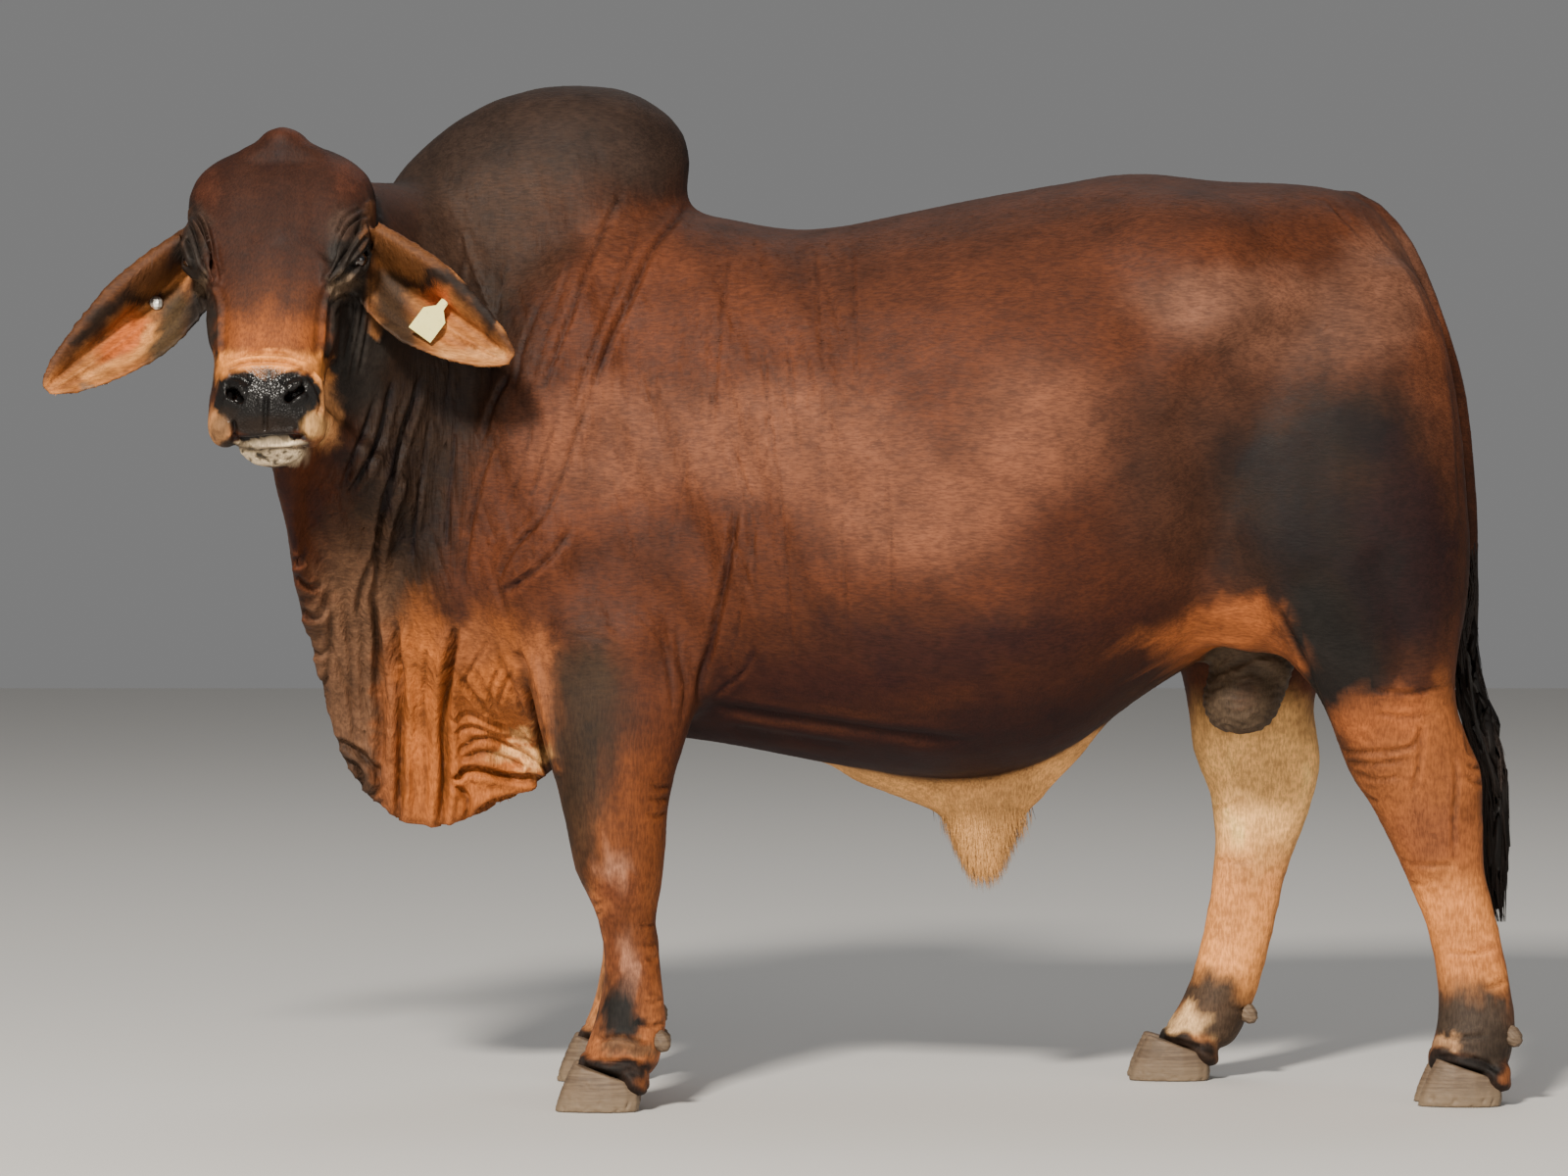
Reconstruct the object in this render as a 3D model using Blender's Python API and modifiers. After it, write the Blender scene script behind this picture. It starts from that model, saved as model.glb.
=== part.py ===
"""A red Brahman bull as a still, life-size model, standing with its head turned to its left.

Units are metres and +Z is up. The bull faces -X and its left side faces -Y. The flesh of the body
is lofted from named sections, fused and smoothed as one body, and then parted into neck, hump,
torso and legs by thin cuts. The head, ears, dewlap, tail and the small parts are shaped by
themselves and trimmed so that they meet what they grow from face to face.
"""

import math
import random

import bmesh
import bpy
import numpy as np
from mathutils import Matrix, Vector
from mathutils.bvhtree import BVHTree

GAP = 0.0003
SEED = 7

# How finely the flesh is drawn
FLESH_VOXEL = 0.012
FLESH_TRIANGLES = 4500
FLESH_BLEND = 5
HEAD_VOXEL = 0.0055
HEAD_TRIANGLES = 1650
HEAD_BLEND = 4
SMOOTH_ROUNDS = 14
FOLDED_OVER = 1.8

# Torso: x, top, bottom, height of the widest level, half width
TORSO = (
    (-0.74, 1.12, 0.84, 0.98, 0.06),
    (-0.69, 1.25, 0.74, 0.98, 0.14),
    (-0.60, 1.36, 0.66, 0.97, 0.20),
    (-0.48, 1.43, 0.61, 0.96, 0.245),
    (-0.33, 1.46, 0.585, 0.96, 0.27),
    (-0.15, 1.445, 0.58, 0.95, 0.305),
    (0.03, 1.417, 0.55, 0.93, 0.345),
    (0.23, 1.450, 0.515, 0.92, 0.37),
    (0.42, 1.488, 0.54, 0.94, 0.365),
    (0.58, 1.507, 0.645, 1.00, 0.33),
    (0.72, 1.497, 0.73, 1.10, 0.285),
    (0.86, 1.492, 0.80, 1.12, 0.245),
    (0.96, 1.455, 0.86, 1.12, 0.20),
    (1.04, 1.34, 0.92, 1.10, 0.15),
    (1.085, 1.20, 0.98, 1.08, 0.09),
)

# Hump: height, front, back, half width
HUMP = (
    (1.30, -0.63, -0.10, 0.17),
    (1.40, -0.65, -0.135, 0.16),
    (1.46, -0.655, -0.158, 0.148),
    (1.50, -0.643, -0.152, 0.138),
    (1.545, -0.602, -0.149, 0.125),
    (1.59, -0.546, -0.170, 0.105),
    (1.625, -0.478, -0.212, 0.080),
    (1.645, -0.415, -0.262, 0.050),
    (1.653, -0.365, -0.305, 0.020),
)

# Neck: centre x, y, z, turn from straight ahead in degrees, half width, reach up, reach down
NECK = (
    (-0.28, 0.00, 1.05, 0, 0.235, 0.38, 0.40),
    (-0.44, -0.01, 1.08, 8, 0.215, 0.385, 0.38),
    (-0.57, -0.05, 1.12, 24, 0.190, 0.365, 0.38),
    (-0.660, -0.12, 1.18, 46, 0.168, 0.31, 0.36),
    (-0.720, -0.21, 1.24, 66, 0.148, 0.255, 0.30),
    (-0.76, -0.31, 1.29, 80, 0.128, 0.22, 0.21),
    (-0.775, -0.38, 1.32, 86, 0.098, 0.17, 0.14),
)

# Shoulder and thigh swellings: centre x, side, z, radii, lean in degrees
SHOULDER_BLADE = ((-0.36, 0.095, 1.10), (0.20, 0.19, 0.32), 14)
UPPER_ARM = ((-0.33, 0.105, 0.87), (0.22, 0.19, 0.23), -20)
HOOK_BONE = ((0.64, 0.105, 1.28), (0.27, 0.19, 0.20), 10)
FLANK_FOLD = ((0.72, 0.175, 0.88), (0.20, 0.085, 0.14), 26)

# Fore leg, as on the left: height, front, back, distance of its centre from the middle, half width
FORE_LEG = (
    (0.98, -0.50, -0.15, 0.170, 0.080),
    (0.84, -0.475, -0.118, 0.190, 0.095),
    (0.733, -0.432, -0.122, 0.205, 0.092),
    (0.672, -0.410, -0.127, 0.215, 0.085),
    (0.60, -0.392, -0.150, 0.222, 0.075),
    (0.524, -0.369, -0.173, 0.225, 0.067),
    (0.448, -0.350, -0.184, 0.225, 0.062),
    (0.385, -0.338, -0.190, 0.225, 0.060),
    (0.333, -0.314, -0.200, 0.225, 0.049),
    (0.287, -0.300, -0.203, 0.225, 0.041),
    (0.225, -0.294, -0.194, 0.225, 0.042),
    (0.160, -0.303, -0.186, 0.225, 0.052),
    (0.108, -0.318, -0.187, 0.225, 0.057),
    (0.072, -0.335, -0.198, 0.225, 0.064),
    (0.046, -0.340, -0.206, 0.225, 0.060),
)
FORE_SPREAD = {"left": 0.020, "right": -0.022}
FORE_STEP = {"left": 0.0, "right": -0.014}

# Hind leg: height, depth, distance from the middle, half width, centre x on the left, on the right
HIND_LEG = (
    (1.36, 0.22, 0.13, 0.060, 0.905, 0.900),
    (1.25, 0.35, 0.15, 0.100, 0.893, 0.880),
    (1.10, 0.43, 0.165, 0.130, 0.880, 0.852),
    (0.95, 0.46, 0.175, 0.135, 0.880, 0.832),
    (0.85, 0.415, 0.180, 0.122, 0.900, 0.812),
    (0.75, 0.31, 0.185, 0.100, 0.938, 0.792),
    (0.665, 0.23, 0.188, 0.080, 0.970, 0.780),
    (0.590, 0.215, 0.190, 0.068, 0.997, 0.786),
    (0.540, 0.225, 0.190, 0.062, 1.018, 0.797),
    (0.490, 0.190, 0.190, 0.058, 1.038, 0.803),
    (0.430, 0.163, 0.190, 0.054, 1.054, 0.799),
    (0.370, 0.139, 0.190, 0.047, 1.069, 0.786),
    (0.285, 0.126, 0.190, 0.041, 1.098, 0.770),
    (0.205, 0.126, 0.190, 0.045, 1.114, 0.752),
    (0.135, 0.132, 0.190, 0.055, 1.120, 0.730),
    (0.076, 0.140, 0.190, 0.064, 1.108, 0.699),
    (0.048, 0.138, 0.190, 0.060, 1.100, 0.684),
)
HIND_SPREAD = {"left": -0.022, "right": 0.026}
SPREAD_FROM = 0.80

# Hooves: two claws a foot, each standing on a flat sole
CLAW_LENGTH = 0.138
CLAW_HALF_WIDTH = 0.0305
CLAW_HEIGHT = 0.076
CLAW_APART = 0.0335
# share of the height, of the reach to the toe, of the reach to the heel, of the half width
CLAW = ((0.0, 1.0, 0.96, 1.0), (0.30, 0.91, 1.0, 1.02), (0.70, 0.73, 0.98, 0.97), (1.0, 0.56, 0.90, 0.84))
HEEL_DROP = 0.45
TOE_PINCH = 0.30
DEWCLAW_RADII = (0.021, 0.019, 0.028)
DEWCLAW_LEVEL = 0.112
DEWCLAW_APART = 0.028
HOOF_CENTRE = {"fore_left": -0.296, "fore_right": -0.310, "hind_left": 1.092, "hind_right": 0.648}

# Head, in its own frame: along the face from the poll, to its left, and out of the face
POLL = Vector((-0.796, -0.350, 1.551))
HEAD_PITCH = math.radians(63)
HEAD_YAW = math.radians(3.2)
# along, face line, jaw line, level of the widest part, half width, squareness of the face
HEAD = (
    (-0.050, -0.108, -0.150, -0.128, 0.022, 2.0),
    (-0.032, -0.075, -0.178, -0.118, 0.066, 2.1),
    (0.004, -0.028, -0.205, -0.098, 0.112, 2.3),
    (0.042, -0.006, -0.225, -0.080, 0.140, 2.5),
    (0.090, 0.007, -0.243, -0.068, 0.149, 2.6),
    (0.145, 0.012, -0.255, -0.066, 0.142, 2.8),
    (0.200, 0.013, -0.258, -0.074, 0.124, 3.0),
    (0.265, 0.013, -0.240, -0.080, 0.106, 3.3),
    (0.320, 0.011, -0.205, -0.072, 0.095, 3.3),
    (0.375, 0.007, -0.168, -0.060, 0.087, 3.0),
    (0.415, 0.002, -0.136, -0.054, 0.087, 2.7),
    (0.452, -0.007, -0.112, -0.054, 0.092, 2.4),
    (0.480, -0.024, -0.102, -0.060, 0.083, 2.3),
    (0.499, -0.048, -0.090, -0.070, 0.052, 2.2),
)
POLL_KNOB = ((-0.002, 0.0, -0.045), (0.033, 0.044, 0.050))
POLL_RIDGE = ((0.022, 0.0, -0.060), (0.040, 0.090, 0.062))
BROW = ((0.176, 0.106, -0.034), (0.068, 0.045, 0.040))
CHEEK = ((0.215, 0.078, -0.150), (0.115, 0.042, 0.085))
CREST = ((0.290, 0.082, -0.055), (0.075, 0.024, 0.030))
LIP = ((0.472, 0.066, -0.070), (0.040, 0.029, 0.038))
CHIN = ((0.472, 0.0, -0.130), (0.044, 0.056, 0.040))
EYE = (0.203, 0.124, -0.036)
EYE_RADIUS = 0.0215
EYE_OUT = Vector((0.14, 0.76, 0.60))
EYE_LINE = Vector((-1.0, 0.45, -0.62))
LID_THICKNESS = 0.0065
EYE_OPENING = (0.031, 0.0105)
# Welts of skin, each a run of points with its radius: the rim of each lid and the fold over the brow
WELTS = (
    (0.0085, ((0.236, 0.108, -0.002), (0.217, 0.131, 0.003), (0.192, 0.145, -0.010), (0.166, 0.141, -0.036))),
    (0.0080, ((0.242, 0.108, -0.012), (0.234, 0.127, -0.028), (0.210, 0.140, -0.046), (0.170, 0.139, -0.052))),
    (0.0090, ((0.264, 0.088, 0.003), (0.224, 0.108, 0.012), (0.180, 0.133, 0.004), (0.132, 0.134, -0.030))),
)
NOSTRIL = (0.447, 0.047, -0.004)
NOSTRIL_RADII = (0.020, 0.0105, 0.026)
MOUTH_LEVEL = -0.090
MOUTH_DROP = 0.020
MOUTH_RADIUS = 0.0032
# Bare pad of the nose: along, half width, lowest level
NOSE_PAD = (
    (0.408, 0.030, -0.008),
    (0.418, 0.060, -0.024),
    (0.444, 0.079, -0.046),
    (0.474, 0.076, -0.066),
    (0.520, 0.060, -0.078),
)

# Ears: root and tip of the middle line, and how far it sags between them
EAR_ROOT = {"left": Vector((-0.668, -0.385, 1.374)), "right": Vector((-0.912, -0.375, 1.368))}
EAR_TIP = {"left": Vector((-0.427, -0.430, 1.199)), "right": Vector((-1.158, -0.440, 1.152))}
EAR_SAG = 0.012
# share of the length, half width, depth of the cup
EAR = (
    (0.00, 0.050, 0.040),
    (0.12, 0.060, 0.044),
    (0.28, 0.070, 0.042),
    (0.46, 0.070, 0.034),
    (0.64, 0.058, 0.026),
    (0.80, 0.044, 0.018),
    (0.93, 0.028, 0.010),
    (1.00, 0.012, 0.003),
)
EAR_THICKNESS = 0.007

# Tag in the left ear and stud in the right one: x and z of their place, the tag's lean, its outline
# as (across, down) from the stud
TAG_PLACE = (-0.535, 1.290)
TAG_DOWN = math.radians(36)
TAG_LEAN = math.radians(20)
TAG_THICKNESS = 0.0022
TAG_OUTLINE = (
    (-0.006, -0.008),
    (0.006, -0.008),
    (0.007, 0.012),
    (0.021, 0.027),
    (0.021, 0.068),
    (-0.021, 0.068),
    (-0.021, 0.027),
    (-0.007, 0.012),
)
TAG_PIN_RADIUS = 0.005
STUD_PLACE = (-0.992, 1.289)
STUD_RADIUS = 0.0115

# Dewlap: root x, y, z, free edge x, y, z and half the root's thickness, from the throat back to
# between the fore legs
DEWLAP = (
    (-0.775, -0.400, 1.150, -0.800, -0.470, 1.080, 0.07),
    (-0.750, -0.330, 1.110, -0.808, -0.420, 1.010, 0.09),
    (-0.710, -0.240, 1.050, -0.797, -0.330, 0.920, 0.11),
    (-0.670, -0.150, 0.980, -0.783, -0.230, 0.820, 0.13),
    (-0.630, -0.080, 0.900, -0.768, -0.130, 0.730, 0.14),
    (-0.590, -0.040, 0.820, -0.757, -0.060, 0.640, 0.15),
    (-0.560, -0.020, 0.760, -0.740, -0.020, 0.560, 0.15),
    (-0.525, -0.005, 0.720, -0.690, 0.000, 0.480, 0.14),
    (-0.480, 0.000, 0.700, -0.610, 0.000, 0.424, 0.12),
    (-0.430, 0.000, 0.680, -0.520, 0.000, 0.436, 0.09),
    (-0.370, 0.000, 0.670, -0.430, 0.000, 0.478, 0.07),
    (-0.300, 0.000, 0.660, -0.345, 0.000, 0.545, 0.06),
)
DEWLAP_EDGE_HALF = 0.013
FOLD_PITCH = 0.078
FOLD_DEPTH = 0.018

# Tail: centre x, y, z, radius
TAIL = (
    (0.845, 0.000, 1.450, 0.030),
    (0.925, 0.000, 1.447, 0.034),
    (0.980, 0.000, 1.405, 0.034),
    (1.024, 0.000, 1.340, 0.031),
    (1.066, 0.000, 1.240, 0.028),
    (1.096, 0.000, 1.135, 0.025),
    (1.114, 0.000, 1.020, 0.022),
    (1.123, 0.000, 0.920, 0.017),
    (1.123, 0.000, 0.850, 0.0125),
)
# Switch: the line its locks hang round, as x, y, z and how far they stand off it
SWITCH = (
    (1.124, 0.000, 0.870, 0.0145),
    (1.119, 0.000, 0.763, 0.017),
    (1.121, 0.000, 0.697, 0.021),
    (1.138, 0.000, 0.612, 0.025),
    (1.160, 0.000, 0.533, 0.025),
    (1.168, 0.000, 0.435, 0.022),
    (1.170, 0.000, 0.336, 0.013),
    (1.176, 0.000, 0.280, 0.004),
)
SWITCH_CORE_TO = 0.575
# Height of each tier's roots, how many locks, their length
SWITCH_TIERS = ((0.810, 4, 0.27), (0.735, 5, 0.27), (0.650, 4, 0.27), (0.570, 3, 0.25), (0.500, 3, 0.21))
LOCK_WIDTH = 0.032
LOCK_THICKNESS = 0.010
# Shape of a lock: how wide it is along its length, and how far out it stands at a share of it
LOCK_TAPER = (0.75, 1.0, 0.95, 0.70, 0.10)
LOCK_STAND = ((0.0, 0.45), (0.2, 0.88), (0.5, 1.03), (0.78, 0.92), (1.0, 0.62))

# Sheath: height, front, back, half width
SHEATH = (
    (0.600, 0.02, 0.53, 0.075),
    (0.545, 0.06, 0.485, 0.062),
    (0.510, 0.115, 0.452, 0.054),
    (0.482, 0.190, 0.428, 0.047),
    (0.460, 0.252, 0.404, 0.041),
    (0.435, 0.268, 0.384, 0.036),
    (0.405, 0.282, 0.370, 0.030),
    (0.390, 0.300, 0.354, 0.018),
)
# Hair at the sheath's end: how many locks, height of their roots and tips, width of a lock
SHEATH_LOCKS = 6
SHEATH_HAIR = (0.430, 0.356)
SHEATH_LOCK_WIDTH = 0.046
# Scrotum: height, front, back, half width
SCROTUM = (
    (0.800, 0.740, 0.850, 0.045),
    (0.740, 0.722, 0.848, 0.052),
    (0.690, 0.696, 0.836, 0.062),
    (0.650, 0.683, 0.822, 0.066),
    (0.618, 0.690, 0.808, 0.057),
    (0.598, 0.708, 0.790, 0.040),
    (0.590, 0.735, 0.768, 0.015),
)

# Cuts through the flesh, as outlines from the side (x, z) with their reach sideways
HUMP_CUT = ((-0.72, 1.47), (-0.12, 1.425), (-0.05, 1.425), (-0.05, 1.80), (-0.72, 1.80))
NECK_CUT = ((-1.10, 0.62), (-0.70, 0.84), (-0.56, 1.20), (-0.52, 1.60), (-1.10, 1.60))
FORE_CUT = ((-0.56, -0.10), (-0.52, 0.62), (-0.36, 0.80), (-0.12, 0.76), (-0.095, -0.10))
DEWLAP_CUT = (
    (-1.10, 1.00),
    (-0.76, 1.04),
    (-0.70, 0.86),
    (-0.60, 0.71),
    (-0.46, 0.625),
    (-0.28, 0.60),
    (-0.28, 0.30),
    (-1.10, 0.30),
)
HIND_CUT = ((0.50, -0.10), (0.58, 0.64), (0.70, 0.86), (0.84, 0.99), (1.35, 1.00), (1.35, -0.10))
FORE_CUT_FROM = 0.105
HIND_CUT_FROM = 0.035
CUT_REACH = 0.60


def clear_scene():
    """Remove whatever the scene holds."""
    for item in list(bpy.data.objects):
        bpy.data.objects.remove(item, do_unlink=True)


def new_collection(name):
    """A collection linked to the scene."""
    collection = bpy.data.collections.new(name)
    bpy.context.scene.collection.children.link(collection)
    return collection


def surface(name, colour, roughness):
    """A plain coloured material."""
    material = bpy.data.materials.new(name)
    material.use_nodes = True
    shader = material.node_tree.nodes["Principled BSDF"]
    shader.inputs["Base Color"].default_value = (*colour, 1.0)
    shader.inputs["Roughness"].default_value = roughness
    shader.inputs["Metallic"].default_value = 0.0
    return material


def object_from(name, mesh, collection):
    """An object over a bmesh, which is used up."""
    data = bpy.data.meshes.new(name)
    mesh.to_mesh(data)
    mesh.free()
    item = bpy.data.objects.new(name, data)
    collection.objects.link(item)
    return item


def remove(items):
    """Remove objects that are used up."""
    for item in items:
        bpy.data.objects.remove(item, do_unlink=True)


def interpolated(rows, steps):
    """Rows of numbers run through by a smooth curve, with a number of steps from row to row."""
    table = np.array(rows, dtype=float)
    padded = np.vstack((2 * table[0] - table[1], table, 2 * table[-1] - table[-2]))
    out = []
    for i in range(1, len(padded) - 2):
        before, start, end, after = padded[i - 1 : i + 3]
        for t in np.arange(steps) / steps:
            out.append(
                0.5
                * (
                    2 * start
                    + (end - before) * t
                    + (2 * before - 5 * start + 4 * end - after) * t**2
                    + (3 * start - before - 3 * end + after) * t**3
                )
            )
    out.append(table[-1])
    return np.array(out)


def ring(sides, right, left, up, down, power, low_power=None):
    """A closed ring of (u, v) whose four reaches differ, round at power 2 and squarer above it."""
    points = []
    upper = power
    for turn in np.arange(sides) * 2 * math.pi / sides:
        cos, sin = math.cos(turn), math.sin(turn)
        power = low_power if low_power and sin < 0 else upper
        u = math.copysign(abs(cos) ** (2 / power), cos) * (right if cos > 0 else left)
        v = math.copysign(abs(sin) ** (2 / power), sin) * (up if sin > 0 else down)
        points.append((u, v))
    return points


def loft(name, rings, collection):
    """One closed body through rings that all have the same number of points."""
    mesh = bmesh.new()
    loops = [[mesh.verts.new(point) for point in points] for points in rings]
    for one, two in zip(loops, loops[1:]):
        for i, corner in enumerate(one):
            j = (i + 1) % len(one)
            mesh.faces.new((corner, one[j], two[j], two[i]))
    mesh.faces.new(loops[0])
    mesh.faces.new(loops[-1])
    bmesh.ops.recalc_face_normals(mesh, faces=mesh.faces)
    return object_from(name, mesh, collection)


def level_loft(name, rows, collection, side=0.0, sides=20, steps=2, power=2.2):
    """A loft of level rings from rows of height, front, back and half width."""
    rings = []
    for height, front, back, half in interpolated(rows, steps):
        middle, reach = (front + back) / 2, (back - front) / 2
        points = ring(sides, reach, reach, half, half, power)
        rings.append([(middle + u, side + v, height) for u, v in points])
    return loft(name, rings, collection)


def swelling(name, form, side, collection):
    """An ellipsoid on one side of the body, leaning in the side view."""
    (x, y, z), radii, lean = form
    mesh = bmesh.new()
    bmesh.ops.create_uvsphere(mesh, u_segments=24, v_segments=14, radius=1.0)
    turn = Matrix.Rotation(math.radians(lean), 4, "Y")
    place = Matrix.Translation((x, side * y, z)) @ turn @ Matrix.Diagonal((*radii, 1.0))
    bmesh.ops.transform(mesh, matrix=place, verts=mesh.verts)
    return object_from(name, mesh, collection)


def applied(item):
    """Bake an object's modifiers into its mesh."""
    graph = bpy.context.evaluated_depsgraph_get()
    mesh = bpy.data.meshes.new_from_object(item.evaluated_get(graph))
    item.modifiers.clear()
    item.data = mesh
    return item


def boolean(item, operand, operation):
    """Cut an object by another, or join them, and keep the largest closed surface."""
    modifier = item.modifiers.new(operation, "BOOLEAN")
    modifier.object = operand
    modifier.operation = operation
    modifier.solver = "EXACT"
    return largest_body(applied(item))


def islands(mesh):
    """The separate pieces of a bmesh, as lists of faces; an edge that more than two share parts them."""
    left = set(mesh.faces)
    found = []
    while left:
        start = left.pop()
        island, edge = [start], [start]
        while edge:
            for line in edge.pop().edges:
                for face in line.link_faces:
                    if face in left and len(line.link_faces) == 2:
                        left.remove(face)
                        island.append(face)
                        edge.append(face)
        found.append(island)
    return found


def volume_of(faces):
    """The signed volume that triangles enclose."""
    total = 0.0
    for face in faces:
        one, two, three = (vert.co for vert in face.verts)
        total += one.dot(two.cross(three)) / 6.0
    return total


def largest_body(item):
    """Triangulate, merge coinciding corners and keep the surface that encloses most."""
    mesh = bmesh.new()
    mesh.from_mesh(item.data)
    bmesh.ops.remove_doubles(mesh, verts=mesh.verts, dist=0.00002)
    bmesh.ops.dissolve_degenerate(mesh, edges=mesh.edges, dist=0.00002)
    bmesh.ops.triangulate(mesh, faces=mesh.faces)
    pieces = sorted(islands(mesh), key=volume_of)
    for piece in pieces[:-1]:
        bmesh.ops.delete(mesh, geom=piece, context="FACES")
    loose = [vert for vert in mesh.verts if not vert.link_faces]
    bmesh.ops.delete(mesh, geom=loose, context="VERTS")
    mesh.to_mesh(item.data)
    mesh.free()
    return item


def grown(item, distance, collection):
    """A copy whose every face lies a distance outside the object's own."""
    mesh = bmesh.new()
    mesh.from_mesh(item.data)
    mesh.normal_update()
    moves = [vert.normal * vert.calc_shell_factor() * distance for vert in mesh.verts]
    for vert, move in zip(mesh.verts, moves):
        vert.co += move
    return object_from(item.name + "_grown", mesh, collection)


def trimmed(item, neighbours, cutters, gap=GAP):
    """Cut an object back until it meets its neighbours with the gap between them."""
    for neighbour in neighbours:
        cutter = grown(neighbour, gap, cutters)
        boolean(item, cutter, "DIFFERENCE")
        remove([cutter])
    return item


def smoothed(mesh, blend, rounds):
    """Melt a mesh's creases a little, then even it out without shrinking it further."""
    count = len(mesh.vertices)
    points = np.empty(count * 3)
    mesh.vertices.foreach_get("co", points)
    points = points.reshape(-1, 3)
    ends = np.empty(len(mesh.edges) * 2, dtype=np.int64)
    mesh.edges.foreach_get("vertices", ends)
    one, two = ends.reshape(-1, 2).T
    links = np.bincount(one, minlength=count) + np.bincount(two, minlength=count)
    for pull in [0.5] * blend + [0.52, -0.50] * rounds:
        total = np.zeros_like(points)
        for axis in range(3):
            total[:, axis] += np.bincount(one, points[two, axis], count)
            total[:, axis] += np.bincount(two, points[one, axis], count)
        points += pull * (total / links[:, None] - points)
    mesh.vertices.foreach_set("co", points.ravel())
    mesh.update()


def fused(name, pieces, voxel, blend, triangles, collection):
    """Melt overlapping closed forms into one smooth body of about so many triangles."""
    mesh = bmesh.new()
    for piece in pieces:
        mesh.from_mesh(piece.data)
    remove(pieces)
    item = object_from(name, mesh, collection)
    melt = item.modifiers.new("melt", "REMESH")
    melt.mode = "VOXEL"
    melt.voxel_size = voxel
    applied(item)
    smoothed(item.data, blend, SMOOTH_ROUNDS)
    largest_body(item)
    thin = item.modifiers.new("thin", "DECIMATE")
    thin.ratio = triangles / len(item.data.polygons)
    unfolded(applied(item))
    return largest_body(item)


def unfolded(item):
    """Take out the few corners that thinning has folded over."""
    mesh = bmesh_of(item)
    mesh.normal_update()
    folded = [vert for vert in mesh.verts if vert.calc_shell_factor() > FOLDED_OVER]
    bmesh.ops.dissolve_verts(mesh, verts=folded)
    mesh.to_mesh(item.data)
    mesh.free()


def prism(name, outline, near, far, collection):
    """A body of one outline (x, z) that reaches from one distance sideways to another."""
    curve = bpy.data.curves.new(name, "CURVE")
    curve.dimensions = "2D"
    curve.fill_mode = "BOTH"
    curve.extrude = abs(far - near) / 2
    spline = curve.splines.new("POLY")
    spline.points.add(len(outline) - 1)
    for point, (x, z) in zip(spline.points, outline):
        point.co = (x, z, 0.0, 1.0)
    spline.use_cyclic_u = True
    flat = bpy.data.objects.new(name, curve)
    collection.objects.link(flat)
    flat.matrix_world = Matrix.Translation((0, (near + far) / 2, 0)) @ Matrix.Rotation(
        math.radians(90), 4, "X"
    )
    return solid_from_curve(flat, collection)


def solid_from_curve(item, collection):
    """A mesh object in place of a curve object, with its caps welded on."""
    bpy.context.view_layer.update()
    graph = bpy.context.evaluated_depsgraph_get()
    data = bpy.data.meshes.new_from_object(item.evaluated_get(graph))
    mesh = bmesh.new()
    mesh.from_mesh(data)
    bmesh.ops.remove_doubles(mesh, verts=mesh.verts, dist=0.00001)
    bmesh.ops.transform(mesh, matrix=item.matrix_world, verts=mesh.verts)
    bmesh.ops.recalc_face_normals(mesh, faces=mesh.faces)
    name = item.name
    bpy.data.objects.remove(item, do_unlink=True)
    return object_from(name, mesh, collection)


def tube(name, points, radius, collection):
    """A round closed tube along points."""
    curve = bpy.data.curves.new(name, "CURVE")
    curve.dimensions = "3D"
    curve.bevel_depth = radius
    curve.bevel_resolution = 1
    curve.use_fill_caps = True
    spline = curve.splines.new("POLY")
    spline.points.add(len(points) - 1)
    for knot, point in zip(spline.points, points):
        knot.co = (*point, 1.0)
    item = bpy.data.objects.new(name, curve)
    collection.objects.link(item)
    return solid_from_curve(item, collection)


def part_off(body, name, region, parts, cutters):
    """Take what lies in a region off a body as a part of its own, with the gap between them."""
    piece = object_from(name, bmesh_of(body), parts)
    boolean(piece, region, "INTERSECT")
    wide = grown(region, GAP, cutters)
    boolean(body, wide, "DIFFERENCE")
    remove([region, wide])
    return piece


def bmesh_of(item):
    """A bmesh over a copy of an object's mesh."""
    mesh = bmesh.new()
    mesh.from_mesh(item.data)
    return mesh


def torso_form(collection):
    """The barrel of the body, from brisket to rump."""
    rings = []
    for x, top, bottom, widest, half in interpolated(TORSO, 3):
        points = ring(36, half, half, top - widest, widest - bottom, 2.35)
        rings.append([(x, u, widest + v) for u, v in points])
    return loft("torso_form", rings, collection)


def neck_form(collection):
    """The neck, bent round to the bull's left."""
    rings = []
    for x, y, z, turn, half, up, down in interpolated(NECK, 4):
        across = Vector((-math.sin(math.radians(turn)), math.cos(math.radians(turn)), 0.0))
        points = ring(28, half, half, up, down, 2.1)
        rings.append([Vector((x, y, z + v)) + across * u for u, v in points])
    return loft("neck_form", rings, collection)


def leg_spread(height, spread):
    """How far a leg is set in or out at a height, nothing where it joins the body."""
    return spread * min(max((SPREAD_FROM - height) / 0.3, 0.0), 1.0)


def fore_leg_form(side, collection):
    """A fore leg from the shoulder to the pastern."""
    sign = -1 if side == "left" else 1
    rings = []
    for z, front, back, out, half in interpolated(FORE_LEG, 2):
        middle = (front + back) / 2 + FORE_STEP[side] * min(max((SPREAD_FROM - z) / 0.3, 0), 1)
        y = sign * (out + leg_spread(z, FORE_SPREAD[side]))
        reach = (back - front) / 2
        rings.append([(middle + u, y + v, z) for u, v in ring(20, reach, reach, half, half, 2.2)])
    return loft("fore_form_" + side, rings, collection)


def hind_leg_form(side, collection):
    """A hind leg from the hip to the pastern."""
    sign = -1 if side == "left" else 1
    rings = []
    for z, depth, out, half, left_x, right_x in interpolated(HIND_LEG, 2):
        middle = left_x if side == "left" else right_x
        y = sign * (out + leg_spread(z, HIND_SPREAD[side]))
        reach = depth / 2
        rings.append([(middle + u, y + v, z) for u, v in ring(20, reach, reach, half, half, 2.2)])
    return loft("hind_form_" + side, rings, collection)


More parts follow.
